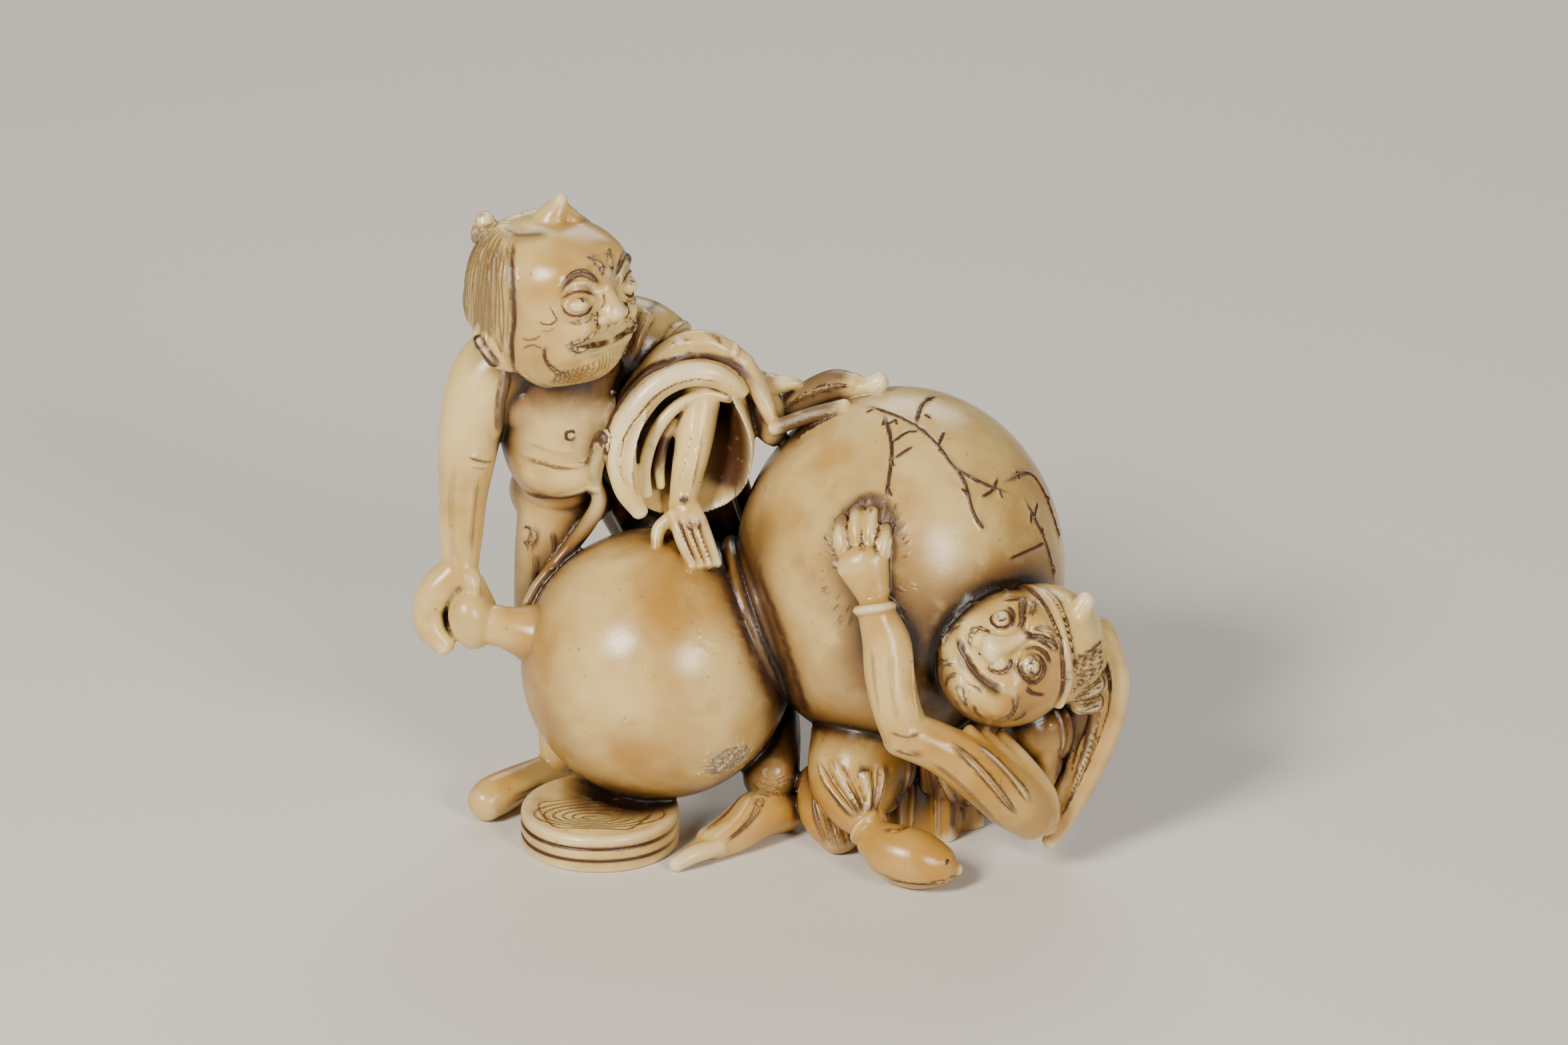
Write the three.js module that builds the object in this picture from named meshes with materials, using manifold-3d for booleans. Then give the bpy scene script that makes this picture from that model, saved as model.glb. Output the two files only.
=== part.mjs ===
// A netsuke carved from one block: two horned demons heave at a double gourd that lies on a layered disc.
// Millimetres, +Z up, +X to the right of the front view, -Y towards the viewer, standing on Z = 0.
import * as THREE from "three";
import { mergeVertices } from "three/addons/utils/BufferGeometryUtils.js";
import Module from "manifold-3d";

const wasm = await Module();
wasm.setup();

// ---- Driving dimensions ----
const SMALL_LOBE = [-7.2, 3.2, 10.5];
const SMALL_R = 8.6;
const BIG_LOBE = [8.1, 4.8, 16.3];
const BIG_R = 10.4;
const BIG_HALF_HEIGHT = 11.7;
const WAIST = [0.1, 3.9, 13.6];
const WAIST_R = 5.6;
const NECK = [-16.6, 2.2, 13.4];
const STOPPER = [-18.8, 2.2, 14.0];
const DISC = [-10.8, -0.6, 0];
const DISC_R = 5.0;
const DISC_HEIGHT = 2.45;
const HEAD_A = [-13.8, 5.0, 34.8];
const HEAD_A_RADII = [4.7, 5.0, 5.2];
const HEAD_B = [14.7, -5.0, 14.5];
const HEAD_B_RADII = [4.1, 4.3, 4.5];
const CUFF = [[0, -0.3], [1.3, -0.3], [1.5, 0], [1.3, 0.3], [0, 0.3]];

// ---- Solids from three.js geometry ----

// A closed geometry as a solid, turned right side out.
function solid(geometry) {
  const bare = geometry.clone();
  bare.deleteAttribute("normal");
  bare.deleteAttribute("uv");
  const merged = mergeVertices(bare, 1e-4);
  const corners = merged.index.array;
  const kept = [];
  for (let i = 0; i < corners.length; i += 3) {
    const [a, b, c] = corners.slice(i, i + 3);
    if (a !== b && b !== c && c !== a) kept.push(a, b, c);
  }
  const build = (order) => {
    const triVerts = new Uint32Array(order);
    const vertProperties = merged.attributes.position.array;
    return new wasm.Manifold(new wasm.Mesh({ numProp: 3, vertProperties, triVerts }));
  };
  const made = build(kept);
  return made.volume() > 0 ? made : build(kept.reverse());
}

// A smooth curve through points [x, y, z, ...].
function curveThrough(points) {
  return new THREE.CatmullRomCurve3(points.map(([x, y, z]) => new THREE.Vector3(x, y, z)));
}

// The value at 0..1 along a list, eased between neighbours.
function along(values, t) {
  const place = Math.min(t, 1) * (values.length - 1);
  const low = Math.min(Math.floor(place), values.length - 2);
  const part = place - low;
  const eased = part * part * (3 - 2 * part);
  return values[low] * (1 - eased) + values[low + 1] * eased;
}

// A blunt-ended limb: a lathe turned to the stations' radii and then bent along them.
// Each station is [x, y, z, radius]; flat squeezes the section towards the reference direction, and
// pleat draws every second side in by that share of the radius, as folds that run along the limb.
function limb(stations, { sides = 6, rows = 3, flat = 1, pleat = 0, up = [0, 1, 0] } = {}) {
  const curve = curveThrough(stations);
  const radii = stations.map((s) => s[3]);
  const first = radii[0];
  const last = radii[radii.length - 1];
  const profile = [[0, -0.8 * first]];
  for (let k = 0; k <= rows; k += 1) profile.push([along(radii, k / rows), k]);
  profile.push([0, rows + 0.8 * last]);
  const lathe = new THREE.LatheGeometry(profile.map(([r, y]) => new THREE.Vector2(r, y)), sides);
  const place = lathe.attributes.position;
  const reference = new THREE.Vector3(...up);
  for (let i = 0; i < place.count; i += 1) {
    const height = place.getY(i);
    const t = THREE.MathUtils.clamp(height / rows, 0, 1);
    const beyond = height < 0 ? height : Math.max(0, height - rows);
    const centre = curve.getPoint(t);
    const ahead = curve.getTangent(t);
    const side = new THREE.Vector3().crossVectors(ahead, reference).normalize();
    const out = new THREE.Vector3().crossVectors(side, ahead);
    const column = Math.floor(i / profile.length);
    const reach = column % 2 ? 1 - pleat : 1;
    centre.addScaledVector(ahead, beyond);
    centre.addScaledVector(side, place.getX(i) * reach);
    centre.addScaledVector(out, place.getZ(i) * flat * reach);
    place.setXYZ(i, centre.x, centre.y, centre.z);
  }
  return solid(lathe);
}

// An ellipsoid of the given half-sizes, turned by degrees about x, y and z.
function ball(centre, radii, { turn = [0, 0, 0], wide = 8, high = 5 } = {}) {
  const shape = new THREE.SphereGeometry(1, wide, high);
  shape.rotateX(Math.PI / 2);
  shape.scale(...radii);
  const [x, y, z] = turn.map(THREE.MathUtils.degToRad);
  shape.applyMatrix4(new THREE.Matrix4().makeRotationFromEuler(new THREE.Euler(x, y, z)));
  shape.translate(...centre);
  return solid(shape);
}

// A turned band about an axis, its outline [radius, height] closed on the axis.
function turned(centre, axis, outline, steps) {
  const shape = new THREE.LatheGeometry(outline.map(([r, y]) => new THREE.Vector2(r, y)), steps);
  const turn = new THREE.Quaternion().setFromUnitVectors(
    new THREE.Vector3(0, 1, 0), new THREE.Vector3(...axis).normalize());
  shape.applyQuaternion(turn);
  shape.translate(...centre);
  return solid(shape);
}

const joined = (solids) => solids.reduce((whole, piece) => whole.add(piece));

// ---- Heads ----

// A head's own frame: its forward and up directions squared up, as a matrix placed at its centre.
function headFrame(centre, forward, up) {
  const f = new THREE.Vector3(...forward).normalize();
  const side = new THREE.Vector3().crossVectors(f, new THREE.Vector3(...up)).normalize();
  const top = new THREE.Vector3().crossVectors(side, f);
  return new THREE.Matrix4().makeBasis(side, f, top).setPosition(...centre);
}

// A point of a head from degrees left or right of the nose and degrees above it.
function onHead(frame, radii, turn, lift, out = 0) {
  const a = THREE.MathUtils.degToRad(turn);
  const b = THREE.MathUtils.degToRad(lift);
  const way = new THREE.Vector3(Math.sin(a) * Math.cos(b), Math.cos(a) * Math.cos(b), Math.sin(b));
  const point = new THREE.Vector3(way.x * radii[0], way.y * radii[1], way.z * radii[2]);
  return point.addScaledVector(way, out).applyMatrix4(frame).toArray();
}

// A skull with features raised or sunk on it: each is [turn, lift, spread in degrees, height in mm].
// Past 80 degrees from the nose, under a bald crown, every second column rises as a lock of hair.
function skull(frame, radii, features, lock) {
  const wide = 22;
  const shape = new THREE.SphereGeometry(1, wide, 12);
  shape.rotateX(Math.PI / 2);
  const place = shape.attributes.position;
  for (let i = 0; i < place.count; i += 1) {
    const way = new THREE.Vector3().fromBufferAttribute(place, i);
    let rise = 0;
    for (const [turn, lift, spread, height] of features) {
      const a = THREE.MathUtils.degToRad(turn);
      const b = THREE.MathUtils.degToRad(lift);
      const to = new THREE.Vector3(Math.sin(a) * Math.cos(b), Math.cos(a) * Math.cos(b), Math.sin(b));
      const off = THREE.MathUtils.radToDeg(way.angleTo(to));
      rise += height * Math.exp(-((off / spread) ** 2));
    }
    const behind = way.y < 0.15 && way.z < 0.72 && way.z > -0.62;
    if (behind && (i % (wide + 1)) % 2) rise += lock;
    place.setXYZ(i, way.x * (radii[0] + rise), way.y * (radii[1] + rise), way.z * (radii[2] + rise));
  }
  shape.applyMatrix4(frame);
  return solid(shape);
}

// ---- Gourd and disc ----

function gourd() {
  const big = ball(BIG_LOBE, [BIG_R, BIG_R, BIG_HALF_HEIGHT], { wide: 22, high: 12 });
  const small = ball(SMALL_LOBE, [SMALL_R, SMALL_R, SMALL_R], { wide: 20, high: 12 });
  const neck = limb([
    [-13.6, 2.5, 12.5, 3.2], [-15.2, 2.3, 13.0, 1.9], [...NECK, 1.35], [-17.4, 2.2, 13.6, 1.3],
  ], { sides: 9 });
  const stopper = ball(STOPPER, [1.45, 1.6, 2.0], { turn: [0, -12, 0] });
  return [big, small, neck, stopper, waistCord()];
}

// The cord wound three times round the waist.
function waistCord() {
  const axis = [BIG_LOBE[0] - SMALL_LOBE[0], 0.6, BIG_LOBE[2] - SMALL_LOBE[2]];
  const outline = [[0, -1.5], [WAIST_R - 0.4, -1.5]];
  for (const k of [-1, 0, 1]) outline.push([WAIST_R, k * 0.95], [WAIST_R - 0.4, k * 0.95 + 0.5]);
  outline.push([0, 1.5]);
  return turned(WAIST, axis, outline, 16);
}

// The disc is turned in three layers, parted by two grooves round its side.
function disc() {
  const groove = 0.16;
  const layer = DISC_HEIGHT / 3;
  const profile = [[0, 0], [DISC_R, 0]];
  for (const k of [1, 2]) {
    profile.push([DISC_R, k * layer - groove], [DISC_R - 0.3, k * layer], [DISC_R, k * layer + groove]);
  }
  profile.push([DISC_R, DISC_HEIGHT - 0.35], [DISC_R - 0.4, DISC_HEIGHT], [0, DISC_HEIGHT]);
  const shape = new THREE.LatheGeometry(profile.map(([r, z]) => new THREE.Vector2(r, z)), 18);
  shape.rotateX(Math.PI / 2);
  shape.translate(...DISC);
  return [solid(shape)];
}

// The knotted end of the gourd's tie, lying over the waist.
function knot() {
  return [
    limb([[0.6, 8.2, 25.6, 0.9], [2.2, 8.0, 26.5, 1.1], [3.9, 7.2, 27.7, 1.1], [5.2, 6.6, 27.9, 0.9]]),
    limb([[5.0, 6.6, 27.4, 0.75], [6.8, 6.1, 28.5, 0.65]], { sides: 5, rows: 1 }),
    limb([[0.2, 5.0, 25.8, 0.5], [2.4, 4.6, 26.8, 0.5], [4.6, 4.6, 27.3, 0.6]], { sides: 5, rows: 2 }),
    limb([[-1.8, 8.2, 26.8, 0.9], [0.4, 7.8, 27.6, 0.6], [1.7, 7.6, 27.8, 0.3]], { sides: 5, rows: 2 }),
  ];
}

// ---- Shared limbs ----

// A finger or toe through points, tapering to its tip.
function finger(points, thick) {
  const taper = [1, 0.95, 0.75];
  const stations = points.map((p, i) => [...p, thick * taper[Math.min(i, 2)]]);
  return limb(stations, { sides: 4, rows: 2 });
}

// ---- Standing demon, behind the small lobe ----

const FRAME_A = headFrame(HEAD_A, [0.76, -0.65, -0.02], [0.03, 0, 1]);
const FACE_A = [
  [0, 38, 30, 0.25], [-30, 33, 15, 0.3], [30, 33, 15, 0.3], [-29, 14, 11, -0.35], [29, 14, 11, -0.35],
  [-36, -8, 14, 0.55], [36, -8, 14, 0.55], [0, -46, 22, 0.6], [0, 8, 9, 0.4], [0, -22, 12, -0.35],
  [-24, -24, 10, -0.3], [24, -24, 10, -0.3],
];

function headA() {
  const radii = HEAD_A_RADII;
  const at = (turn, lift, out) => onHead(FRAME_A, radii, turn, lift, out);
  const nose = limb([
    [...at(0, 18, -0.2), 0.5], [...at(0, 4, 0.4), 0.7], [...at(0, -5, 0.3), 0.85],
  ], { rows: 2 });
  const eyes = [-29, 29].map((turn) => ball(at(turn, 14, -0.35), [0.95, 0.95, 0.7]));
  const horns = [
    limb([[-12.9, 5.4, 39.3, 1.15], [-13.0, 5.4, 40.6, 0.75], [-13.2, 5.5, 41.3, 0.35]], { rows: 2 }),
    limb([[-17.0, 4.6, 37.6, 0.85], [-17.4, 4.5, 39.0, 0.55]], { rows: 1 }),
  ];
  const ears = [-97, 97].map((turn) => {
    const side = Math.sign(turn);
    return limb([
      [...at(turn * 1.08, 2, -0.3), 0.7], [...at(turn, -14, 0.55), 1.25], [...at(turn * 0.9, -34, 0.2), 0.5],
    ], { rows: 2, flat: 0.6, up: [0, side, 0.2] });
  });
  return [skull(FRAME_A, radii, FACE_A, 0.55), nose, ...eyes, ...horns, ...ears];
}

function bodyA() {
  const torso = limb([
    [-13.6, 7.6, 19.6, 3.6], [-13.5, 7.0, 22.2, 3.9], [-13.2, 7.3, 26.4, 4.0], [-12.6, 7.6, 29.8, 3.4],
  ], { sides: 10, rows: 5, flat: 0.9 });
  const chest = ball([-13.0, 4.7, 27.2], [3.6, 1.1, 2.0]);
  const nape = limb([[-13.2, 7.6, 30.2, 2.6], [-13.5, 5.8, 32.6, 2.5]], { sides: 8, rows: 1 });
  const roll = limb([[-16.5, 5.4, 22.4, 0.5], [-13.8, 3.5, 21.6, 0.7], [-11.0, 3.7, 22.1, 0.5]], {
    sides: 5, rows: 2, up: [0, 0, 1],
  });
  return [torso, chest, nape, roll];
}

// The arm that reaches down to the stopper, its hand closed round it.
function reachingArmA() {
  const arm = limb([
    [-16.6, 6.6, 30.3, 2.3], [-18.1, 6.0, 28.2, 1.95], [-19.3, 5.2, 23.2, 1.5], [-19.4, 4.2, 19.8, 1.45],
    [-19.5, 3.3, 17.0, 1.1],
  ], { sides: 8, rows: 6 });
  const palm = ball([-20.0, 3.4, 15.4], [1.5, 1.2, 1.6]);
  const thumb = limb([
    [-20.4, 3.0, 16.2, 0.7], [-21.8, 2.5, 14.8, 0.75], [-21.6, 1.8, 13.4, 0.6], [-20.5, 1.3, 12.5, 0.5],
  ], { sides: 5, rows: 4 });
  const fingers = [0, 1, 2].map((k) => finger([
    [-19.6 + k * 0.5, 3.9, 15.8], [-19.6 + k * 0.9, 4.2, 14.2 - k * 0.3],
    [-19.6 + k * 0.7, 3.4, 12.7 + k * 0.2],
  ], 0.6));
  return [arm, palm, thumb, ...fingers];
}

// The sleeved arm that lies over the waist, its hand spread on the small lobe.
function sleevedArmA() {
  const shoulder = ball([-8.2, 8.1, 30.7], [3.4, 2.8, 2.6], { turn: [0, 18, 0], wide: 9, high: 6 });
  const bell = limb([
    [-6.4, 8.6, 29.0, 2.4], [-5.4, 7.2, 27.4, 3.5], [-5.4, 5.8, 25.4, 4.4], [-5.7, 4.8, 23.8, 4.5],
  ], { sides: 14, flat: 0.85 });
  const mouth = limb([[-5.4, 5.2, 26.6, 3.3], [-4.9, 3.2, 24.6, 3.8], [-4.4, 0.6, 22.0, 3.9]], {
    sides: 12, rows: 2, pleat: 0.16,
  });
  const lip = limb([
    [-7.6, 2.9, 21.0, 0.7], [-9.3, 3.2, 22.4, 0.9], [-10.0, 3.7, 24.6, 0.85], [-9.3, 4.1, 26.8, 0.8],
    [-7.7, 4.5, 28.5, 0.8], [-5.2, 4.9, 29.6, 0.8], [-2.9, 5.1, 29.3, 0.7], [-1.7, 5.4, 28.2, 0.5],
  ], { rows: 9 });
  const forearm = limb([[-4.4, 6.2, 27.4, 1.35], [-4.9, 5.0, 24.6, 1.3], [-5.4, 3.9, 21.9, 1.0]], {
    sides: 7, rows: 2,
  });
  const palm = limb([[-5.3, 3.4, 21.2, 1.1], [-4.9, 2.3, 19.8, 1.45]], { rows: 1, flat: 0.6 });
  const fingers = [0, 1, 2, 3].map((k) => finger([
    [-5.9 + k * 0.62, 1.9 + k * 0.15, 19.6], [-5.7 + k * 0.72, 0.9 + k * 0.2, 18.9],
    [-5.3 + k * 0.72, -0.3 + k * 0.42, 18.2 + k * 0.04],
  ], 0.42));
  const thumb = finger([[-6.2, 3.0, 20.6], [-7.1, 2.6, 19.9], [-7.2, 1.8, 19.2]], 0.45);
  return { solids: [shoulder, lip, forearm, palm, ...fingers, thumb], bell, mouth };
}

// The robe: drawn over the waist to a point, falling in folds behind, and the cord to the gourd's neck.
function robeA() {
  const drape = limb([
    [-9.6, 9.8, 27.8, 3.2], [-4.6, 9.4, 27.2, 2.5], [-1.2, 8.4, 26.2, 1.9], [0.2, 6.0, 25.0, 0.9],
  ], { sides: 10, rows: 4, pleat: 0.1 });
  const skirt = limb([
    [-9.6, 8.6, 28.2, 3.4], [-8.4, 10.2, 23.6, 4.6], [-6.4, 11.0, 19.2, 4.9], [-5.2, 11.0, 16.4, 4.6],
  ], { sides: 16, rows: 3, flat: 0.75, pleat: 0.14 });
  const cord = limb([
    [-10.2, 3.6, 25.4, 0.32], [-10.6, 3.2, 23.4, 0.32], [-10.5, 2.8, 21.2, 0.32], [-11.5, 2.4, 18.7, 0.34],
    [-13.4, 2.0, 16.3, 0.34], [-15.4, 1.8, 14.4, 0.32],
  ], { sides: 5, rows: 7 });
  return [drape, skirt, cord];
}

function legsA() {
  const right = limb([
    [-14.4, 7.6, 19.4, 2.5], [-15.4, 7.2, 16.0, 1.9], [-14.6, 8.4, 11.0, 1.9], [-13.7, 7.6, 6.4, 1.4],
    [-13.6, 6.6, 2.4, 1.25],
  ], { sides: 8, rows: 5 });
  const rightFoot = limb([
    [-13.4, 7.2, 1.2, 1.3], [-15.6, 5.0, 1.5, 1.2], [-17.6, 2.9, 1.3, 1.35], [-18.2, 2.2, 1.1, 1.2],
  ], { sides: 8, up: [0, 0, 1] });
  const left = limb([
    [-6.6, 10.4, 18.0, 2.9], [-3.6, 10.8, 13.4, 2.6], [-1.4, 9.6, 9.6, 2.2], [0.0, 5.6, 5.6, 1.8],
    [-0.1, 0.4, 3.4, 2.0],
  ], { sides: 8, rows: 4 });
  const instep = limb([
    [0.6, 0.8, 1.3, 1.7], [-0.6, -0.5, 1.9, 1.9], [-2.4, -2.1, 1.2, 1.6], [-3.8, -3.2, 0.9, 1.3],
  ], { sides: 8, flat: 0.9, up: [0, 0, 1] });
  const toes = [0, 1, 2, 3].map((k) => finger([
    [-3.4 + k * 0.35, -3.7 + k * 0.85, 1.0], [-4.9 + k * 0.35, -4.7 + k * 0.95, 0.85],
    [-6.1 + k * 0.55, -5.3 + k * 1.05, 0.4],
  ], 0.62 - k * 0.06));
  return [right, rightFoot, left, instep, ...toes];
}

// ---- Crouching demon, under and in front of the big lobe ----

// A point of the big lobe from degrees right of the front and degrees above its middle.
function onLobe(turn, lift, out) {
  const a = THREE.MathUtils.degToRad(turn);
  const b = THREE.MathUtils.degToRad(lift);
  const way = [Math.sin(a) * Math.cos(b), -Math.cos(a) * Math.cos(b), Math.sin(b)];
  const reach = [BIG_R + out, BIG_R + out, BIG_HALF_HEIGHT + out];
  return way.map((w, k) => BIG_LOBE[k] + w * reach[k]);
}

const FRAME_B = headFrame(HEAD_B, [-0.24, -0.85, 0.46], [0.84, 0.215, 0.506]);
const FACE_B = [
  [-24, 42, 16, 0.35], [24, 42, 16, 0.35], [-26, 24, 12, -0.3], [26, 24, 12, -0.3],
  [-36, -2, 14, 0.55], [36, -2, 14, 0.55], [0, -44, 20, 0.5], [-12, -22, 12, -0.45], [14, -22, 12, -0.45],
];

function headB() {
  const radii = HEAD_B_RADII;
  const at = (turn, lift, out) => onHead(FRAME_B, radii, turn, lift, out);
  const nose = limb([
    [...at(0, 26, -0.2), 0.45], [...at(0, 10, 0.3), 0.65], [...at(0, 1, 0.2), 0.9],
  ], { rows: 2 });
  const eyes = [-26, 26].map((turn) => ball(at(turn, 24, -0.2), [0.85, 0.7, 0.85]));
  const crown = ball([16.7, -4.0, 14.9], [4.0, 3.9, 3.9], { wide: 10, high: 6 });
  const horn = limb([[18.5, -5.2, 17.0, 1.0], [19.4, -5.0, 18.5, 0.55]], { rows: 1 });
  return [skull(FRAME_B, radii, FACE_B, 0), nose, ...eyes, crown, horn, bandB()];
}

// The twisted cloth tied round his head, which frames the face from brow to jaw.
function bandB() {
  const radius = 4.45;
  const back = -0.4;
  const stations = [];
  for (let angle = 25; angle <= 180; angle += 31) {
    const a = THREE.MathUtils.degToRad(angle);
    const place = new THREE.Vector3(radius * Math.cos(a), back, radius * Math.sin(a)).applyMatrix4(FRAME_B);
    stations.push([...place.toArray(), 0.36]);
  }
  return limb(stations, { sides: 4, rows: 5 });
}

// Short locks swept back behind the band.
function hairB() {
  return [0, 1, 2].map((k) => limb([
    [18.3, -6.5 + k * 0.25, 14.0 - k, 0.5], [19.4, -5.8 + k * 0.2, 14.4 - k * 1.1, 0.6],
    [20.3, -4.4, 14.6 - k * 1.1, 0.5],
  ], { sides: 5, rows: 2 }));
}

// The arm raised against the gourd, a hand pressed flat on it.
function pushingArmB() {
  const wrist = onLobe(-9, 10, 0.75);
  const forearm = limb([
    [...wrist, 1.15], [6.5, -7.0, 14.6, 1.5], [7.1, -7.9, 11.9, 1.65], [7.8, -8.0, 10.9, 1.6],
  ], { sides: 8, rows: 4 });
  const bracelet = turned(onLobe(-9, 9, 0.7), [-0.15, 0.42, 1], CUFF, 10);
  const palm = limb([[...onLobe(-10, 14, 0.55), 1.15], [...onLobe(-15, 21, 0.45), 1.6]], {
    sides: 7, rows: 1, flat: 0.62,
  });
  const fingers = [[-22, 23, -26, 33], [-18, 25, -20, 38], [-13, 25, -13, 37], [-9, 22, -7, 31]].map(
    ([turn, lift, turnTip, liftTip]) => finger([
      onLobe(turn, lift, 0.45), onLobe((turn + turnTip) / 2, (lift + liftTip) / 2, 0.5),
      onLobe(turnTip, liftTip, 0.2),
    ], 0.44));
  const upper = limb([
    [7.7, -8.0, 10.8, 1.7], [10.4, -8.1, 9.7, 1.75], [13.2, -7.6, 8.2, 2.0], [15.4, -6.3, 5.6, 2.15],
    [16.8, -5.2, 3.2, 1.6],
  ], { sides: 12, rows: 5, pleat: 0.13 });
  return [forearm, bracelet, palm, ...fingers, upper];
}

// The wide sleeve that hangs open behind the head: an outer lip, folds inside it, and long folds on the arm.
function sleeveB() {
  const wall = ball([18.9, -1.9, 8.9], [2.7, 2.0, 7.2], { turn: [0, 13, 0], wide: 8, high: 6 });
  const lip = limb([
    [19.6, -3.9, 16.2, 0.6], [20.7, -3.8, 15.2, 0.65], [21.5, -3.7, 13.2, 0.65], [21.6, -3.7, 11.6, 0.65],
    [21.2, -3.8, 9.3, 0.65], [20.0, -4.0, 6.2, 0.65], [18.5, -4.3, 3.4, 0.6], [17.4, -4.5, 1.7, 0.5],
  ], { rows: 8 });
  const middle = limb([
    [20.4, -3.6, 13.6, 0.45], [20.6, -3.6, 11.4, 0.5], [20.0, -3.7, 8.8, 0.5], [18.9, -3.9, 5.6, 0.5],
    [17.7, -4.4, 2.8, 0.4],
  ], { sides: 5, rows: 5 });
  const inner = limb([
    [19.5, -3.3, 12.4, 0.45], [19.7, -3.3, 10.6, 0.45], [18.9, -3.5, 7.8, 0.45], [17.9, -4.2, 4.6, 0.4],
  ], { sides: 5, rows: 4 });
  const fist = ball([17.2, -4.2, 9.7], [0.65, 0.9, 0.6], { wide: 6, high: 4 });
  return [wall, lip, middle, inner, fist];
}

function bodyB() {
  const torso = limb([[16.6, -3.2, 9.4, 2.6], [14.2, -0.8, 7.0, 3.0], [10.8, 2.2, 4.8, 3.6]], {
    sides: 8, rows: 2,
  });
  const robe = limb([[8.4, 3.4, 6.8, 4.2], [8.3, 3.4, 3.6, 5.0], [8.2, 3.4, 0.2, 5.3]], {
    sides: 16, rows: 2, pleat: 0.12, up: [1, 0, 0], flat: 1.1,
  });
  const trouser = limb([[5.4, 0.6, 6.0, 3.2], [5.0, -2.0, 4.8, 2.7], [5.7, -4.4, 3.1, 1.1]], {
    sides: 14, pleat: 0.19,
  });
  const hem = ball([4.0, -1.4, 0.9], [1.7, 1.9, 1.4], { turn: [0, 20, 0], wide: 7, high: 4 });
  const band = turned([6.1, -5.0, 2.9], [0.75, -1.0, -0.5], CUFF, 10);
  const foot = limb([
    [6.5, -5.7, 2.4, 1.3], [7.6, -6.6, 2.1, 1.75], [9.2, -7.3, 1.8, 1.85], [10.9, -7.7, 1.5, 1.2],
    [11.5, -7.8, 1.4, 0.5],
  ], { sides: 8, rows: 5, up: [0, 0, 1] });
  return [torso, robe, trouser, hem, band, foot];
}

// ---- The whole carving ----

function carving() {
  const sleeve = sleevedArmA();
  const cloth = joined([sleeve.bell, ...robeA()]).subtract(sleeve.mouth);
  const figures = [
    ...headA(), ...bodyA(), ...reachingArmA(), ...sleeve.solids, ...legsA(),
    ...headB(), ...hairB(), ...pushingArmB(), ...sleeveB(), ...bodyB(),
  ];
  const whole = joined([...gourd(), ...disc(), ...knot(), cloth, ...figures]);
  const below = new THREE.BoxGeometry(100, 100, 10);
  below.translate(0, 0, -5);
  // Pockets sealed in between the forms are solid, so only the outer skin is kept.
  const skins = whole.subtract(solid(below)).decompose();
  return skins.reduce((most, skin) => (skin.volume() > most.volume() ? skin : most));
}

function geometryOf(made) {
  const mesh = made.getMesh();
  const shape = new THREE.BufferGeometry();
  shape.setAttribute("position", new THREE.BufferAttribute(mesh.vertProperties, 3));
  shape.setIndex(new THREE.BufferAttribute(mesh.triVerts, 1));
  return shape;
}

const shape = geometryOf(carving());
shape.computeBoundingBox();
const { min, max } = shape.boundingBox;
shape.translate(-(min.x + max.x) / 2, -(min.y + max.y) / 2, -min.z);
shape.computeVertexNormals();

const netsuke = new THREE.Group();
const ivory = new THREE.MeshStandardMaterial({ color: "#dcc68f", roughness: 0.35, metalness: 0 });
const body = new THREE.Mesh(shape, ivory);
body.name = "carved_netsuke";
netsuke.add(body);

export default netsuke;
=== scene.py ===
# %% [markdown]
# # A netsuke: two demons and a gourd
#
# A netsuke is a small toggle, carved from one block of ivory, that held a purse to a belt. This one
# shows two horned demons heaving at a huge bottle gourd. The carver roughed out rounded forms, cut
# one against the next, drew hair and wrinkles with a burin, rubbed brown stain into every cut and
# polished the high places pale again. The script follows the same order: rounded forms, one solid,
# engraved lines, stain, polish.

# %% Frame and tools
import math

import bpy
import numpy as np
import openvdb as vdb
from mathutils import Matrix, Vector


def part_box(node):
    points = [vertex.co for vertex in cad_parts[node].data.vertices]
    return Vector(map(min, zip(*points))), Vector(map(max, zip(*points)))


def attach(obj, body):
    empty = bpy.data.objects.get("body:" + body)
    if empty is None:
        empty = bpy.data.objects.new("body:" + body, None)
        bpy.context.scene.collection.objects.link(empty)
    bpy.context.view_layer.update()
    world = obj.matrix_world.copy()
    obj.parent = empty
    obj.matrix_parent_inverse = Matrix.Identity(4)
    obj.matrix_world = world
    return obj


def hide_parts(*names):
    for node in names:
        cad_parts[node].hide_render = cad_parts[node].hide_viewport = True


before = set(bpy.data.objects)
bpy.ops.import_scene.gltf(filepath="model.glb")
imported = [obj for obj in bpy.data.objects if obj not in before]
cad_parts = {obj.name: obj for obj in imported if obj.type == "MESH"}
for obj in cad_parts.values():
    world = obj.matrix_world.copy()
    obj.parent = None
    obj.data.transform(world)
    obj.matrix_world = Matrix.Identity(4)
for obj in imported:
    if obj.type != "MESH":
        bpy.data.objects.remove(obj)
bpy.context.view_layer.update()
NODE = "carved_netsuke"

# %% [markdown]
# ## Sizes and places
#
# Everything is laid out in millimetres, with X to the right, the viewer on the -Y side and Z up, and
# the disc standing on Z = 0. At the end the whole carving moves by one step into the frame's place.
# The lobes, the two heads and the disc are placed first, and every limb, fold and line goes by them.

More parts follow.
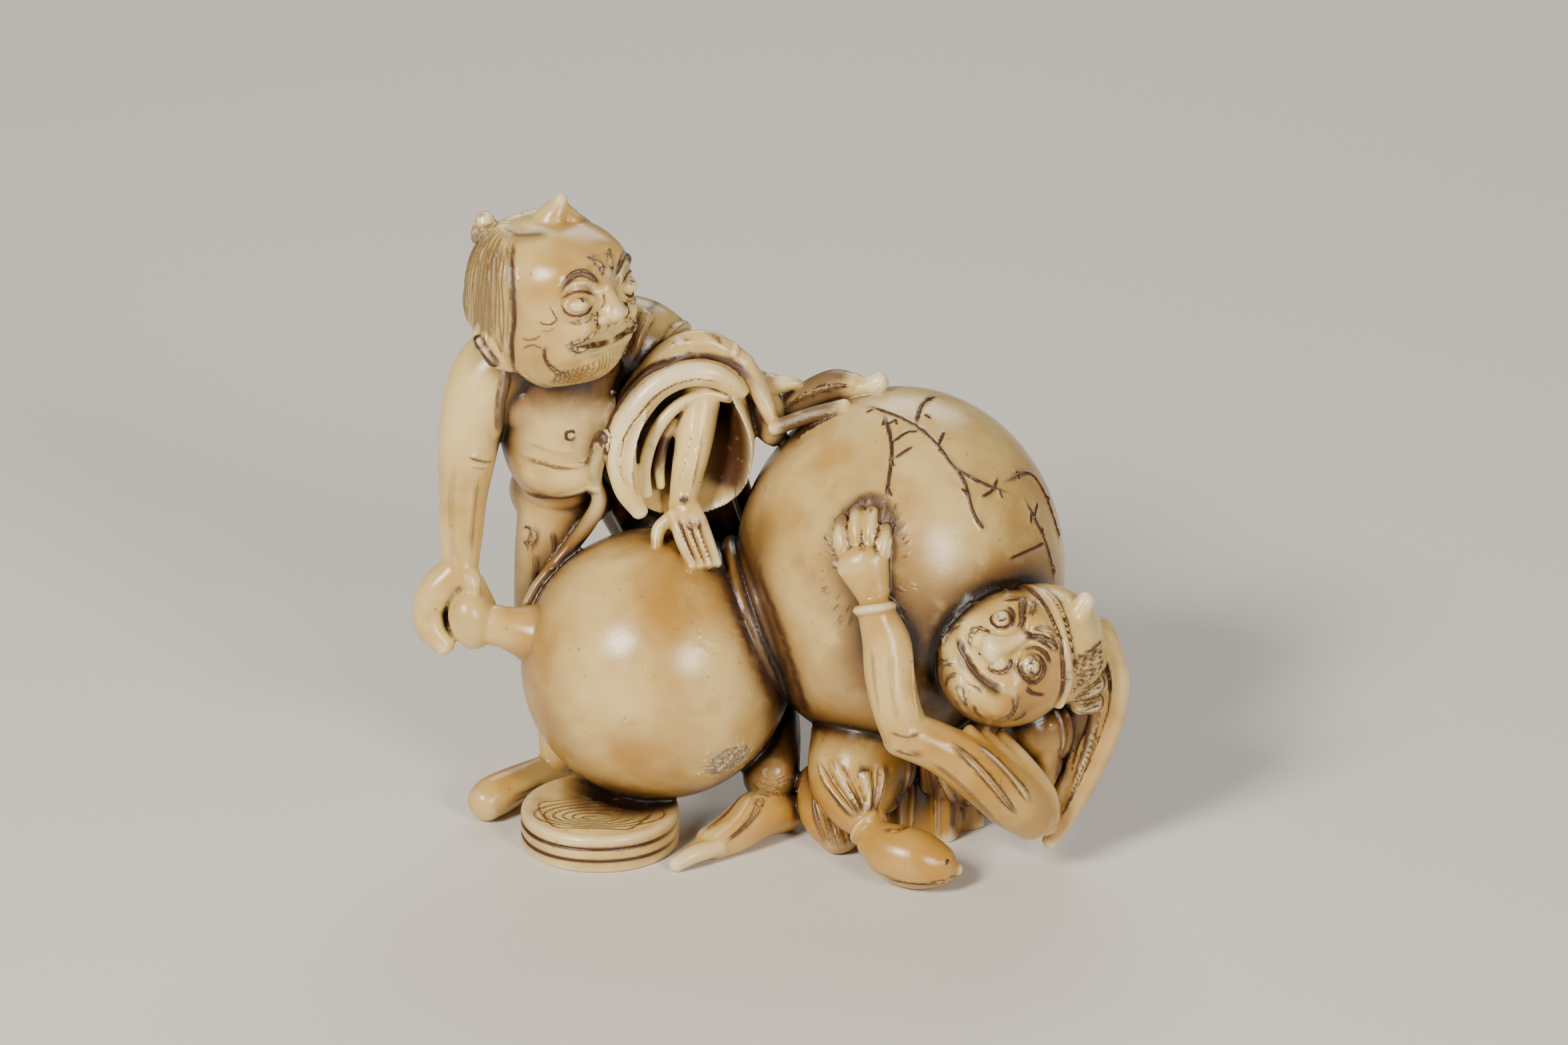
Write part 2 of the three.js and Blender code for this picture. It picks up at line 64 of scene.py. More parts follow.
# %% The driving places, in millimetres
DESIGN_LOW = np.array([-22.46, -9.86, 0.0])
SMALL_LOBE = np.array([-7.2, 3.2, 10.5])
SMALL_R = 8.6
BIG_LOBE = np.array([8.1, 4.8, 16.3])
BIG_RADII = np.array([10.4, 10.4, 11.7])
WAIST = np.array([0.1, 3.9, 13.6])
WAIST_R = 5.6
NECK = [-16.6, 2.2, 13.4]
STOPPER = [-18.8, 2.2, 14.0]
DISC = np.array([-10.8, -0.6, 0.0])
DISC_R = 5.0
DISC_HEIGHT = 2.45
HEAD_A = np.array([-13.6, 5.0, 34.55])
HEAD_A_RADII = np.array([4.55, 4.8, 5.05])
HEAD_A_BOX = 2.55
HEAD_B = np.array([14.6, -5.0, 14.5])
HEAD_B_RADII = np.array([4.15, 4.3, 4.5])
HEAD_B_BOX = 2.0
WAIST_WAY = np.array([BIG_LOBE[0] - SMALL_LOBE[0], 0.6, BIG_LOBE[2] - SMALL_LOBE[2]])
print("gourd, mm: lobes", 2 * SMALL_R, "and", 2 * BIG_RADII[0], "wide, waist", 2 * WAIST_R)

# %% [markdown]
# ## Rounded forms
#
# A carved limb is a round section that changes size along a bent line, so one function makes nearly
# all of them: rings of points carried along a smooth curve, with blunt ends. Spheres squeezed to
# ellipsoids give the gourd and the heads. The forms overlap freely, because they are fused later.

# %% Curves and shells
def unit(v):
    """A vector, or each of an array of them, over its own length."""
    return v / np.linalg.norm(v, axis=-1, keepdims=True)


def spline(points, t):
    """A Catmull-Rom curve at t from 0 to 1: between two points it is the cubic whose slope at each
    point is half the step from the point before to the point after."""
    p = np.asarray(points, float)
    p = np.vstack([2 * p[0] - p[1], p, 2 * p[-1] - p[-2]])
    place = np.clip(t, 0, 1) * (len(p) - 3)
    i = np.minimum(place.astype(int), len(p) - 4)
    f = (place - i)[:, None]
    a, b, c, d = p[i], p[i + 1], p[i + 2], p[i + 3]
    return 0.5 * (2 * b + (c - a) * f + (2 * a - 5 * b + 4 * c - d) * f**2
                  + (3 * b - a - 3 * c + d) * f**3)


def shell(grid):
    """Points and quads of a grid [row, column, xyz] whose columns run round and meet again."""
    rows, columns = grid.shape[:2]
    number = np.arange(rows * columns).reshape(rows, columns)
    after = np.roll(number, -1, axis=1)
    quads = np.stack([number[:-1], number[1:], after[1:], after[:-1]], -1).reshape(-1, 4)
    return grid.reshape(-1, 3), quads


STEP = 0.22  # millimetres between neighbouring points of a form


def limb(stations, flat=1.0, up=(0, 1, 0), folds=0, depth=0.0, step=STEP, blunt=0.8):
    """Rings carried along a curve through stations [x, y, z, radius]. Ring angle a lies at
    radius * (cos a * side + flat * sin a * out), where out is the part of up square to the curve.
    Folds draw the ring in by depth * (1 - cos(folds * a)) / 2. Each end is half a blunt ellipsoid."""
    s = np.asarray(stations, float)
    length = np.linalg.norm(np.diff(s[:, :3], axis=0), axis=1).sum()
    t = np.linspace(0, 1, max(6, int(length / step)))
    centre = spline(s[:, :3], t)
    radius = spline(s[:, 3:], t)[:, 0]
    ahead = unit(np.gradient(centre, axis=0))
    side = unit(np.cross(ahead, np.asarray(up, float)))
    out = np.cross(side, ahead)
    cap = np.linspace(0, math.pi / 2, 8)[:-1]
    reach = np.concatenate([-np.cos(cap), np.zeros(len(t)), np.cos(cap[::-1])])
    share = np.concatenate([np.sin(cap), np.ones(len(t)), np.sin(cap[::-1])])
    k = np.concatenate([np.zeros(len(cap), int), np.arange(len(t)), np.full(len(cap), len(t) - 1)])
    centre = centre[k] + (reach * blunt * radius[k])[:, None] * ahead[k]
    around = max(20, int(2 * math.pi * radius.max() / step))
    a = np.linspace(0, 2 * math.pi, around, endpoint=False)
    drawn = 1 - depth * (0.5 - 0.5 * np.cos(folds * a)) if folds else np.ones(around)
    ring = (share * radius[k])[:, None] * drawn
    grid = (centre[:, None] + (ring * np.cos(a))[..., None] * side[k][:, None]
            + (ring * flat * np.sin(a))[..., None] * out[k][:, None])
    return shell(grid)


def turn_matrix(degrees):
    """Turns by degrees about x, y and z: the product X * Y * Z, so the turn about z comes first."""
    x, y, z = np.radians(degrees)
    rx = np.array([[1, 0, 0], [0, math.cos(x), -math.sin(x)], [0, math.sin(x), math.cos(x)]])
    ry = np.array([[math.cos(y), 0, math.sin(y)], [0, 1, 0], [-math.sin(y), 0, math.cos(y)]])
    rz = np.array([[math.cos(z), -math.sin(z), 0], [math.sin(z), math.cos(z), 0], [0, 0, 1]])
    return rx @ ry @ rz


def globe(around, high):
    """Directions over a whole sphere: (cos a * sin b, sin a * sin b, cos b) for a round, b down."""
    a = np.linspace(0, 2 * math.pi, around, endpoint=False)[None]
    b = np.linspace(0, math.pi, high)[:, None]
    return np.stack([np.cos(a) * np.sin(b), np.sin(a) * np.sin(b), np.cos(b) + 0 * a], -1)


def ball(centre, radii, turn=(0, 0, 0), step=STEP):
    """An ellipsoid: the directions of a sphere times the half-sizes radii, then turned and moved."""
    around = max(20, int(2 * math.pi * max(radii) / step))
    grid = globe(around, around // 2) * np.asarray(radii)
    return shell(grid @ turn_matrix(turn).T + np.asarray(centre, float))


def turned(centre, axis, outline, around=120):
    """An outline [radius, height] turned about an axis through centre, as on a lathe: a point lies
    at height * axis + radius * (cos a * side + sin a * out)."""
    axis = unit(np.asarray(axis, float))
    side = unit(np.cross(axis, [0.3, 0.9, 0.1]))
    out = np.cross(axis, side)
    r, h = np.asarray(outline, float).T
    a = np.linspace(0, 2 * math.pi, around, endpoint=False)
    grid = (np.asarray(centre, float) + h[:, None, None] * axis
            + (r[:, None] * np.cos(a))[..., None] * side + (r[:, None] * np.sin(a))[..., None] * out)
    return shell(grid)


print("a ball of 1 mm radius has", len(ball([0, 0, 0], [1, 1, 1])[0]), "points")

# %% [markdown]
# ## The gourd and its disc
#
# A bottle gourd is two round lobes with a narrow waist, a neck and a stopper. It lies on its side.
# The waist is bound by a cord wound three times, and a flat turned disc in three layers lies under
# the small lobe. Ellipsoids and lathe shapes are true to all of these.

# %% Gourd, cord, disc and knot
def gourd():
    """Two lobes, a neck that narrows away from the small one, and a stopper like an acorn."""
    neck = limb([[-13.6, 2.5, 12.5, 3.2], [-15.2, 2.3, 13.0, 1.9], [*NECK, 1.35],
                 [-17.4, 2.2, 13.6, 1.3]])
    return [ball(BIG_LOBE, BIG_RADII), ball(SMALL_LOBE, [SMALL_R] * 3), neck,
            ball(STOPPER, [1.45, 1.6, 2.0], turn=[0, -12, 0])]


def waist_cord():
    """Three round turns side by side: the outline rises by bulge * sqrt |cos(pi * height / pitch)|,
    an arch for each turn between two creases."""
    half_width, bulge, pitch = 1.5, 0.45, 0.95
    height = np.linspace(-half_width, half_width, 46)
    rise = bulge * np.sqrt(np.abs(np.cos(math.pi * height / pitch)))
    outline = np.column_stack([WAIST_R - bulge + rise, height])
    return [turned(WAIST, WAIST_WAY, np.vstack([[0, -half_width], outline, [0, half_width]]))]


def disc():
    """Three turned layers, parted by two V grooves. The lower edge is bevelled and the upper edge is
    a quarter round."""
    bevel, groove, groove_depth, rim = 0.15, 0.16, 0.3, 0.4
    layer = DISC_HEIGHT / 3
    profile = [[0, 0], [DISC_R - bevel, 0], [DISC_R, bevel]]
    for k in (1, 2):
        profile += [[DISC_R, k * layer - groove], [DISC_R - groove_depth, k * layer],
                    [DISC_R, k * layer + groove]]
    bend = np.linspace(0, math.pi / 2, 7)
    profile += [[DISC_R - rim + rim * math.cos(b), DISC_HEIGHT - rim + rim * math.sin(b)]
                for b in bend]
    return [turned(DISC, [0, 0, 1], profile + [[0, DISC_HEIGHT]])]


def knot():
    """The knotted end of the standing demon's robe, which lies between his sleeve and the big lobe."""
    return [
        limb([[0.6, 8.2, 25.6, 0.9], [2.2, 8.0, 26.5, 1.1], [3.9, 7.2, 27.7, 1.1],
              [5.2, 6.6, 27.9, 0.9]]),
        limb([[5.0, 6.6, 27.4, 0.75], [6.8, 6.1, 28.5, 0.65]]),
        limb([[0.2, 5.0, 25.8, 0.5], [2.4, 4.6, 26.8, 0.5], [4.6, 4.6, 27.3, 0.6]]),
        limb([[-1.8, 8.2, 26.8, 0.9], [0.4, 7.8, 27.6, 0.6], [1.7, 7.6, 27.8, 0.3]]),
    ]


forms = gourd() + waist_cord() + disc() + knot()
print("gourd, cord, disc and knot:", len(forms), "forms")

# %% [markdown]
# ## Heads
#
# A head is a globe of directions, a little boxier than an ellipsoid. Each direction's radius is the
# skull's half-size plus a sum of soft hills and hollows, so a face is drawn by turn (degrees to one
# side of the nose) and lift (degrees above it), as a carver marks out a face on a ball.

# %% Skulls
def head_frame(centre, forward, up, radii, box):
    """A head: its side, forward and top directions squared up, its centre, half-sizes and boxiness."""
    f = unit(np.asarray(forward, float))
    side = unit(np.cross(f, up))
    axes = np.column_stack([side, f, np.cross(side, f)])
    return {"axes": axes, "centre": np.asarray(centre, float), "radii": radii, "box": box}


HEADS = {
    "A": head_frame(HEAD_A, [0.76, -0.65, -0.02], [0.03, 0, 1], HEAD_A_RADII, HEAD_A_BOX),
    "B": head_frame(HEAD_B, [-0.24, -0.85, 0.46], [0.84, 0.215, 0.506], HEAD_B_RADII, HEAD_B_BOX),
}


def way(turn, lift):
    """The direction at turn and lift degrees: (sin turn cos lift, cos turn cos lift, sin lift)."""
    a, b = np.radians(turn), np.radians(lift)
    return np.stack([np.sin(a) * np.cos(b), np.cos(a) * np.cos(b), np.sin(b) + 0 * a], -1)


def from_way(head, toward, out):
    """Skull points: direction * (half-sizes * boxy + out), with boxy = (sum |direction|^box)^(-1/box).
    A box of 2 is an ellipsoid, and more is squarer."""
    boxy = (np.abs(toward) ** head["box"]).sum(-1, keepdims=True) ** (-1 / head["box"])
    return (toward * (head["radii"] * boxy + out)) @ head["axes"].T + head["centre"]


def on_head(head, turn, lift, out=0.0):
    """The skull's point at turn and lift, raised by out."""
    return from_way(head, way(np.asarray(turn, float), np.asarray(lift, float)), out)


def on_face(head, marks, out=0.0):
    """A path on a head through marks [turn, lift]."""
    turn, lift = np.asarray(marks, float).T
    return on_head(head, turn, lift, out)


def mirrored(marks):
    """Marks [turn, ...] on the other side of the nose."""
    return [[-mark[0], *mark[1:]] for mark in marks]


def both(marks):
    """Marks and the same ones on the other side."""
    return [*marks, *mirrored(marks)]


def skull(head, features, hair=None, around=300, high=170):
    """A skull with features [turn, lift, spread in degrees, height]: each adds
    height * exp(-(angle from it / spread) squared) to the radius."""
    toward = globe(around, high)
    rise = np.zeros(toward.shape[:2])
    for turn, lift, spread, height in features:
        off = np.degrees(np.arccos(np.clip(toward @ way(turn, lift), -1, 1)))
        rise += height * np.exp(-(off / spread) ** 2)
    if hair is not None:
        rise += hair(toward)
    return shell(from_way(head, toward, rise[..., None]))


def step_up(x, low, high):
    """0 below low, 1 above high, and 3u^2 - 2u^3 between."""
    u = np.clip((x - low) / (high - low), 0, 1)
    return u * u * (3 - 2 * u)


for name, head in HEADS.items():
    print("head", name, "looks towards", head["axes"][:, 1].round(2), "half-sizes, mm", head["radii"])

# %% [markdown]
# ## The standing demon
#
# He stands behind the small lobe. One bare arm reaches down to the stopper, and the other comes out
# of a wide open sleeve and presses on the lobe.

# %% Standing demon: head
HILLS_A = both([
    [30, 34, 14, 0.20], [31, 14, 11, -0.32], [26, -1, 11, 0.55], [47, -26, 9, 0.15], [9, -4, 5, 0.35],
    [33, -20, 8, 0.25], [14, -30, 9, 0.2], [12, 24, 6, -0.35], [48, -48, 14, 0.3],
]) + [[0, 38, 24, 0.2], [0, 30, 6, 0.3], [0, -44, 20, 0.5], [0, -13, 7, 0.15], [0, -27, 10, 0.1]]
HAIRLINE_A = [[106, 58], [86, 37], [79, 20], [77, 0], [80, -20], [96, -60]]
HAIR_PROUD = 0.3
NAPE_DRAWN_IN = 0.5


def hairline_a(lift):
    """The turn at which the hair starts, at a lift: straight between the marks of the hairline."""
    turns, lifts = np.array(HAIRLINE_A, float).T
    return np.interp(-lift, -lifts, turns)


def hair_mass_a(toward):
    """Hair stands proud behind the hairline and below the bald crown. The nape under it and behind
    the ears is drawn in."""
    turn = np.degrees(np.abs(np.arctan2(toward[..., 0], toward[..., 1])))
    lift = np.degrees(np.arcsin(toward[..., 2]))
    start = hairline_a(lift)
    crown_edge = HAIRLINE_A[0][1]
    hair = HAIR_PROUD * step_up(turn, start - 1, start + 3) * step_up(crown_edge - lift, 0, 6)
    nape = step_up(-lift, 12, 30) * step_up(turn, 84, 98)
    return hair * (1 - nape) - NAPE_DRAWN_IN * nape


def head_a():
    """A skull, then nose, nostrils, eyes, the horn on the crown, the knob behind it, and two ears."""
    head = HEADS["A"]

    def at(turn, lift, out):
        return on_head(head, turn, lift, out)

    nose = limb([[*at(0, 24, -0.35), 0.5], [*at(0, 13, 0.0), 0.6], [*at(0, 4, 0.25), 0.85]])
    wings = [ball(at(turn, 2, 0.1), [0.6, 0.6, 0.48]) for turn in (-10, 10)]
    eyes = [ball(at(turn, 14.5, -0.3), [0.8, 0.8, 0.55]) for turn in (-30, 30)]
    horns = [
        limb([[-13.7, 5.4, 39.2, 1.15], [-13.2, 5.4, 40.1, 0.9], [-12.9, 5.4, 40.9, 0.4]]),
        limb([[-13.0, 5.4, 40.3, 0.55], [-12.2, 5.4, 39.5, 0.6]]),
        limb([[*at(143, 42, 0.2), 0.9], [*at(146, 47, 1.0), 0.62]]),
    ]
    ears = [limb([[*at(s * 113, -8, -0.1), 0.45], [*at(s * 106, -20, 0.1), 0.85],
                  [*at(s * 98, -32, 0.1), 0.8], [*at(s * 90, -43, -0.1), 0.4]], flat=0.75)
            for s in (-1, 1)]
    return [skull(head, HILLS_A, hair_mass_a), nose, *wings, *eyes, *horns, *ears]


forms += head_a()
print("with the standing demon's head:", len(forms), "forms")

# %% Standing demon: body, arms and hands
def body_a():
    """A bare torso with chest, belly, hips and nape, and the mass of cloth behind the shoulder."""
    torso = limb([[-13.4, 7.6, 21.4, 2.6], [-13.4, 7.1, 23.4, 3.5], [-13.2, 7.2, 26.4, 4.1],
                  [-12.8, 7.6, 29.4, 3.9]], flat=0.9)
    hips = ball([-13.2, 9.0, 20.0], [3.4, 2.9, 2.8])
    nape = limb([[-13.2, 7.6, 30.2, 3.0], [-13.5, 5.8, 32.6, 2.6]])
    chest = ball([-13.2, 5.3, 27.0], [3.7, 1.6, 2.4])
    belly = ball([-13.2, 5.6, 23.0], [2.8, 2.0, 1.9])
    back = ball([-8.6, 9.2, 29.6], [4.2, 3.0, 3.2], turn=[0, 22, 0])
    return [torso, hips, chest, belly, nape, back]


REACHING_ARM = [[-15.6, 7.0, 30.2, 2.7], [-17.6, 6.3, 28.6, 2.5], [-18.7, 5.7, 25.8, 2.05],
                [-19.1, 5.1, 23.2, 1.75], [-19.3, 4.7, 21.2, 1.5], [-19.45, 4.1, 19.0, 1.38],
                [-19.5, 3.3, 16.9, 1.1]]


def finger(points, thick):
    """A finger or toe through three points, which tapers to its tip."""
    taper = [1, 0.95, 0.78]
    return limb([[*point, thick * share] for point, share in zip(points, taper)], step=0.15)


def reaching_arm_a():
    """The bare arm, with its hand hooked over the stopper."""
    thumb = limb([[-19.9, 3.3, 16.7, 1.1], [-20.9, 3.0, 15.7, 1.15], [-21.5, 2.8, 14.4, 1.05],
                  [-21.3, 2.4, 13.2, 0.95], [-20.5, 1.9, 12.3, 0.7]])
    index = limb([[-19.3, 3.2, 17.0, 0.95], [-18.8, 2.5, 16.3, 0.72], [-18.6, 2.1, 15.8, 0.4]])
    fingers = [finger([[-19.6 + k * 0.5, 3.9, 15.8], [-19.6 + k * 0.9, 4.2, 14.2 - k * 0.3],
                       [-19.6 + k * 0.7, 3.4, 12.7 + k * 0.2]], 0.6) for k in range(3)]
    back_of_hand = ball([-20.5, 3.9, 14.7], [1.5, 0.9, 2.3], turn=[0, -8, 0])
    return [limb(REACHING_ARM), back_of_hand, thumb, index, *fingers]


SLEEVE_LIP_A = [[-8.2, 2.9, 21.0, 0.55], [-9.0, 3.2, 22.5, 0.85], [-9.3, 3.7, 24.3, 0.9],
                [-9.1, 4.0, 25.9, 0.9], [-8.3, 4.2, 27.4, 0.88], [-7.1, 4.5, 28.7, 0.85],
                [-5.5, 4.8, 29.4, 0.82], [-3.9, 5.0, 29.4, 0.8], [-2.7, 5.2, 28.8, 0.72],
                [-1.9, 5.4, 28.0, 0.5]]
SLEEVED_FOREARM = [[-4.3, 6.4, 27.8, 1.25], [-4.8, 5.2, 25.0, 1.2], [-5.3, 4.1, 22.6, 0.98],
                   [-5.5, 3.6, 21.4, 0.88]]
SLEEVED_PALM = [[-5.5, 3.4, 21.4, 0.95], [-5.2, 2.6, 20.4, 1.2]]


def sleeved_arm_a():
    """The sleeve's thick lip, two folds inside it, and the arm that comes out to press on the gourd."""
    folds = [limb([[-2.6, 5.7, 27.5, 0.3], [-4.0, 5.5, 27.9, 0.38], [-5.5, 5.1, 27.5, 0.4],
                   [-6.7, 4.7, 26.5, 0.42], [-7.5, 4.3, 25.1, 0.42], [-7.9, 3.9, 23.4, 0.4],
                   [-7.7, 3.5, 21.9, 0.3]]),
             limb([[-6.0, 5.6, 26.0, 0.3], [-6.7, 5.1, 24.9, 0.36], [-7.0, 4.6, 23.4, 0.36],
                   [-6.9, 4.2, 22.2, 0.28]])]
    fingers = [finger([[-6.1 + k * 0.55, 2.9, 20.9 - k * 0.1], [-5.6 + k * 0.55, 1.6 + k * 0.1, 19.6],
                       [-4.9 + k * 0.52, 0.1 + k * 0.2, 18.4]], 0.4) for k in range(4)]
    thumb = finger([[-6.2, 3.0, 20.6], [-7.0, 2.7, 19.9], [-7.15, 2.0, 19.0]], 0.48)
    return [limb(SLEEVE_LIP_A, flat=0.8), *folds, limb(SLEEVED_FOREARM),
            limb(SLEEVED_PALM, flat=0.6), *fingers, thumb]


forms += body_a() + reaching_arm_a() + sleeved_arm_a()
print("with his body and arms:", len(forms), "forms")


# %% [markdown]
# ### The open sleeve
#
# The sleeve is a deep bell of cloth. A carver leaves a solid mass there and drills it out from the
# front, so the mass and the hollow are made as two sets of forms, and the second is cut out of the
# first further down.

# %% Standing demon: sleeve and the back of his robe
def sleeve_cloth_a():
    """The rim over the sleeve, the mass of the sleeve, the cloth on the shoulder and the robe that
    hangs down behind."""
    rim = limb([[-9.6, 5.0, 25.8, 0.6], [-9.1, 5.2, 27.4, 0.7], [-8.2, 5.5, 28.6, 0.75],
                [-6.9, 6.0, 30.0, 0.8], [-5.5, 6.4, 30.8, 0.8], [-4.0, 6.6, 30.9, 0.8],
                [-2.8, 6.6, 30.3, 0.75], [-1.8, 6.4, 29.6, 0.7], [-1.0, 6.2, 28.4, 0.65],
                [-0.1, 5.6, 26.5, 0.5], [0.3, 5.2, 25.6, 0.35]])
    return [
        rim,
        limb([[-6.4, 8.6, 29.0, 2.4], [-5.4, 7.2, 27.4, 3.5], [-5.4, 5.8, 25.4, 4.4],
              [-5.7, 4.8, 23.8, 4.5]], flat=0.85),
        limb([[-9.6, 9.8, 27.8, 3.2], [-4.6, 9.4, 27.2, 2.5], [-1.2, 8.4, 26.2, 1.9],
              [0.2, 6.0, 25.0, 0.9]], folds=5, depth=0.1),
        limb([[-9.6, 8.6, 28.2, 3.4], [-8.4, 10.2, 23.6, 4.6], [-6.4, 11.0, 19.2, 4.9],
              [-5.2, 11.0, 16.4, 4.6]], flat=0.75, folds=8, depth=0.14),
    ]


def sleeve_mouth_a():
    """The hollow that is cut into the sleeve's cloth."""
    return [limb([[-5.2, 5.4, 26.6, 3.1], [-4.9, 3.4, 24.6, 3.8], [-4.4, 0.6, 22.0, 3.9]])]


print("sleeve:", len(sleeve_cloth_a()), "forms of cloth, cut by", len(sleeve_mouth_a()))

# %% [markdown]
# ### Cord, legs and feet
#
# A cord runs from the sleeve to the gourd's neck. It is thin, so its points are closer. The far leg
# bends under the waist of the gourd, and toes are made as fingers are.

# %% Standing demon: cord, legs and feet
GOURD_CORD = [[-10.2, 3.9, 25.6, 0.4], [-10.9, 4.0, 24.0, 0.42], [-11.0, 4.4, 22.4, 0.45],
              [-10.8, 5.1, 20.8, 0.5], [-11.5, 5.9, 19.0, 0.52], [-12.7, 5.9, 17.3, 0.48],
              [-13.9, 5.4, 16.0, 0.42], [-14.8, 5.0, 15.0, 0.36], [-15.4, 4.4, 14.1, 0.3]]
NEAR_LEG = [[-13.7, 8.2, 19.2, 2.4], [-14.5, 7.6, 15.6, 1.8], [-14.4, 8.4, 11.0, 1.9],
            [-13.7, 7.6, 6.4, 1.4], [-13.6, 6.6, 2.4, 1.25]]
FAR_LEG = [[-6.6, 10.4, 18.0, 2.9], [-3.6, 10.8, 13.4, 2.6], [-1.4, 9.6, 9.6, 2.2],
           [0.0, 5.6, 5.6, 1.8], [0.0, 1.0, 3.6, 1.8]]


def legs_a():
    """A straight leg behind the small lobe, with its foot turned to the left, and the far leg, whose
    foot comes to the front under the waist."""
    near_foot = limb([[-13.4, 7.2, 1.2, 1.3], [-15.6, 5.0, 1.5, 1.2], [-17.6, 2.9, 1.4, 1.35],
                      [-18.2, 2.2, 1.2, 1.2]], up=(0, 0, 1))
    instep = limb([[0.7, 0.9, 1.4, 1.6], [-0.6, -0.4, 1.8, 1.7], [-2.4, -2.0, 1.2, 1.45],
                   [-3.7, -3.0, 0.9, 1.2]], flat=0.9, up=(0, 0, 1))
    toes = [finger([[-3.3 + k * 0.35, -3.6 + k * 0.85, 1.0], [-4.8 + k * 0.35, -4.6 + k * 0.95, 0.9],
                    [-6.0 + k * 0.55, -5.2 + k * 1.05, 0.45]], 0.62 - k * 0.06) for k in range(4)]
    return [limb(NEAR_LEG), near_foot, limb(FAR_LEG), instep, *toes]


forms += [limb(GOURD_CORD, step=0.12)] + legs_a()
print("with the cord and his legs:", len(forms), "forms")

# %% [markdown]
# ## The crouching demon
#
# He crouches in front of the big lobe with his face turned up, one hand flat on the gourd and the
# wide sleeve of the other arm hanging open behind his head.

# %% Crouching demon: head
HILLS_B = both([
    [25, 44, 13, 0.3], [25, 19, 11, -0.35], [34, -4, 12, 0.45], [14, -12, 8, 0.2],
]) + [[-4, 45, 10, 0.25], [-14, -20, 13, -0.4], [14, -22, 10, -0.25], [-8, -36, 14, 0.5],
      [-45, -24, 12, 0.35], [36, -30, 12, 0.35], [0, 34, 6, -0.3]]
HEADBAND = [[100, 40], [79, 56], [23, 66], [-19, 60], [-41, 52], [-57, 43], [-75, 31], [-90, 14]]


def head_b():
    """A skull, then nose, eyes, the mass of hair with its horn, and the headband along its marks."""
    head = HEADS["B"]

    def at(turn, lift, out):
        return on_head(head, turn, lift, out)

    nose = limb([[*at(-2, 28, -0.2), 0.45], [*at(-1, 14, 0.0), 0.55], [*at(3, 2, 0.15), 0.95]])
    wings = [ball(at(14, -2, 0.05), [0.65, 0.6, 0.6]), ball(at(-9, 1, 0.0), [0.6, 0.6, 0.55])]
    eyes = [ball(at(-28, 18, -0.2), [0.65, 0.65, 0.75]), ball(at(24, 20, -0.15), [0.5, 0.5, 0.55])]
    crown = ball([16.7, -4.0, 14.9], [4.0, 3.9, 3.9])
    horn = limb([[18.5, -5.2, 17.0, 1.0], [19.4, -5.0, 18.5, 0.55]])
    band = limb([[*point, 0.38] for point in on_face(head, HEADBAND, 0.1)], step=0.12)
    return [skull(head, HILLS_B), nose, *wings, *eyes, crown, horn, band]


LOCKS_B = 4


def lock_b(k):
    """The middle of one lock of hair, from the band to its tip. Each lies below the one before."""
    return [[17.9 + k * 0.35, -7.0 + k * 0.5, 14.9 - k * 1.1],
            [19.2 + k * 0.2, -6.1 + k * 0.45, 15.2 - k * 1.25],
            [20.3, -4.6 + k * 0.1, 15.4 - k * 1.3]]


def hair_b():
    """Locks swept back from the band, thickest in the middle."""
    return [limb([[*p, thick] for p, thick in zip(lock_b(k), (0.55, 0.65, 0.5))]) for k in range(LOCKS_B)]


forms += head_b() + hair_b()
print("with the crouching demon's head:", len(forms), "forms")

# %% [markdown]
# ### Arms, sleeve and robe
#
# The hand lies flat on the big lobe, so its palm and fingers go by turn and lift on the lobe, and stay
# on it if its size changes. The robe's skirt is one wide limb whose rings are drawn in eleven times,
# which gives it fluted folds.

# %% Crouching demon: arms, sleeve and robe
CUFF = [[0, -0.3], [1.2, -0.3], [1.4, 0], [1.2, 0.3], [0, 0.3]]


def on_lobe(turn, lift, out=0.0):
    """The point of the big lobe at degrees right of its front and degrees above its middle."""
    a, b = np.radians(turn), np.radians(lift)
    toward = np.stack([np.sin(a) * np.cos(b), -np.cos(a) * np.cos(b), np.sin(b)], -1)
    return BIG_LOBE + toward * (BIG_RADII + out)


PUSHING_FOREARM = [[*on_lobe(-9, 9, 0.75), 1.1], [7.1, -6.5, 16.3, 1.5], [7.3, -7.2, 14.4, 1.55],
                   [7.7, -7.8, 12.5, 1.5], [8.3, -8.1, 10.9, 1.5]]
PUSHING_ARM = [[8.1, -8.1, 10.9, 1.5], [10.4, -8.2, 9.9, 1.55], [12.9, -7.8, 8.1, 1.85],
               [15.0, -6.7, 5.8, 1.95], [16.2, -5.7, 4.1, 1.6]]


def pushing_arm_b():
    """The bent arm with its bracelet, and the hand flat on the lobe with its fingers spread."""
    bracelet = turned(on_lobe(-9, 9.5, 0.75), [-0.15, 0.42, 1], CUFF, 60)
    palm = limb([[*on_lobe(-10, 14, 0.55), 1.1], [*on_lobe(-14, 22, 0.45), 1.65]], flat=0.6)
    spread = [[-20.5, 24, -25.5, 34], [-16.5, 27, -19.5, 38], [-12, 27, -13, 38], [-8, 24, -7, 33]]
    fingers = [finger([on_lobe(turn, lift, 0.5),
                       on_lobe((turn + turn_tip) / 2, (lift + lift_tip) / 2, 0.55),
                       on_lobe(turn_tip, lift_tip, 0.2)], 0.5)
               for turn, lift, turn_tip, lift_tip in spread]
    return [limb(PUSHING_FOREARM), bracelet, palm, *fingers, limb(PUSHING_ARM)]


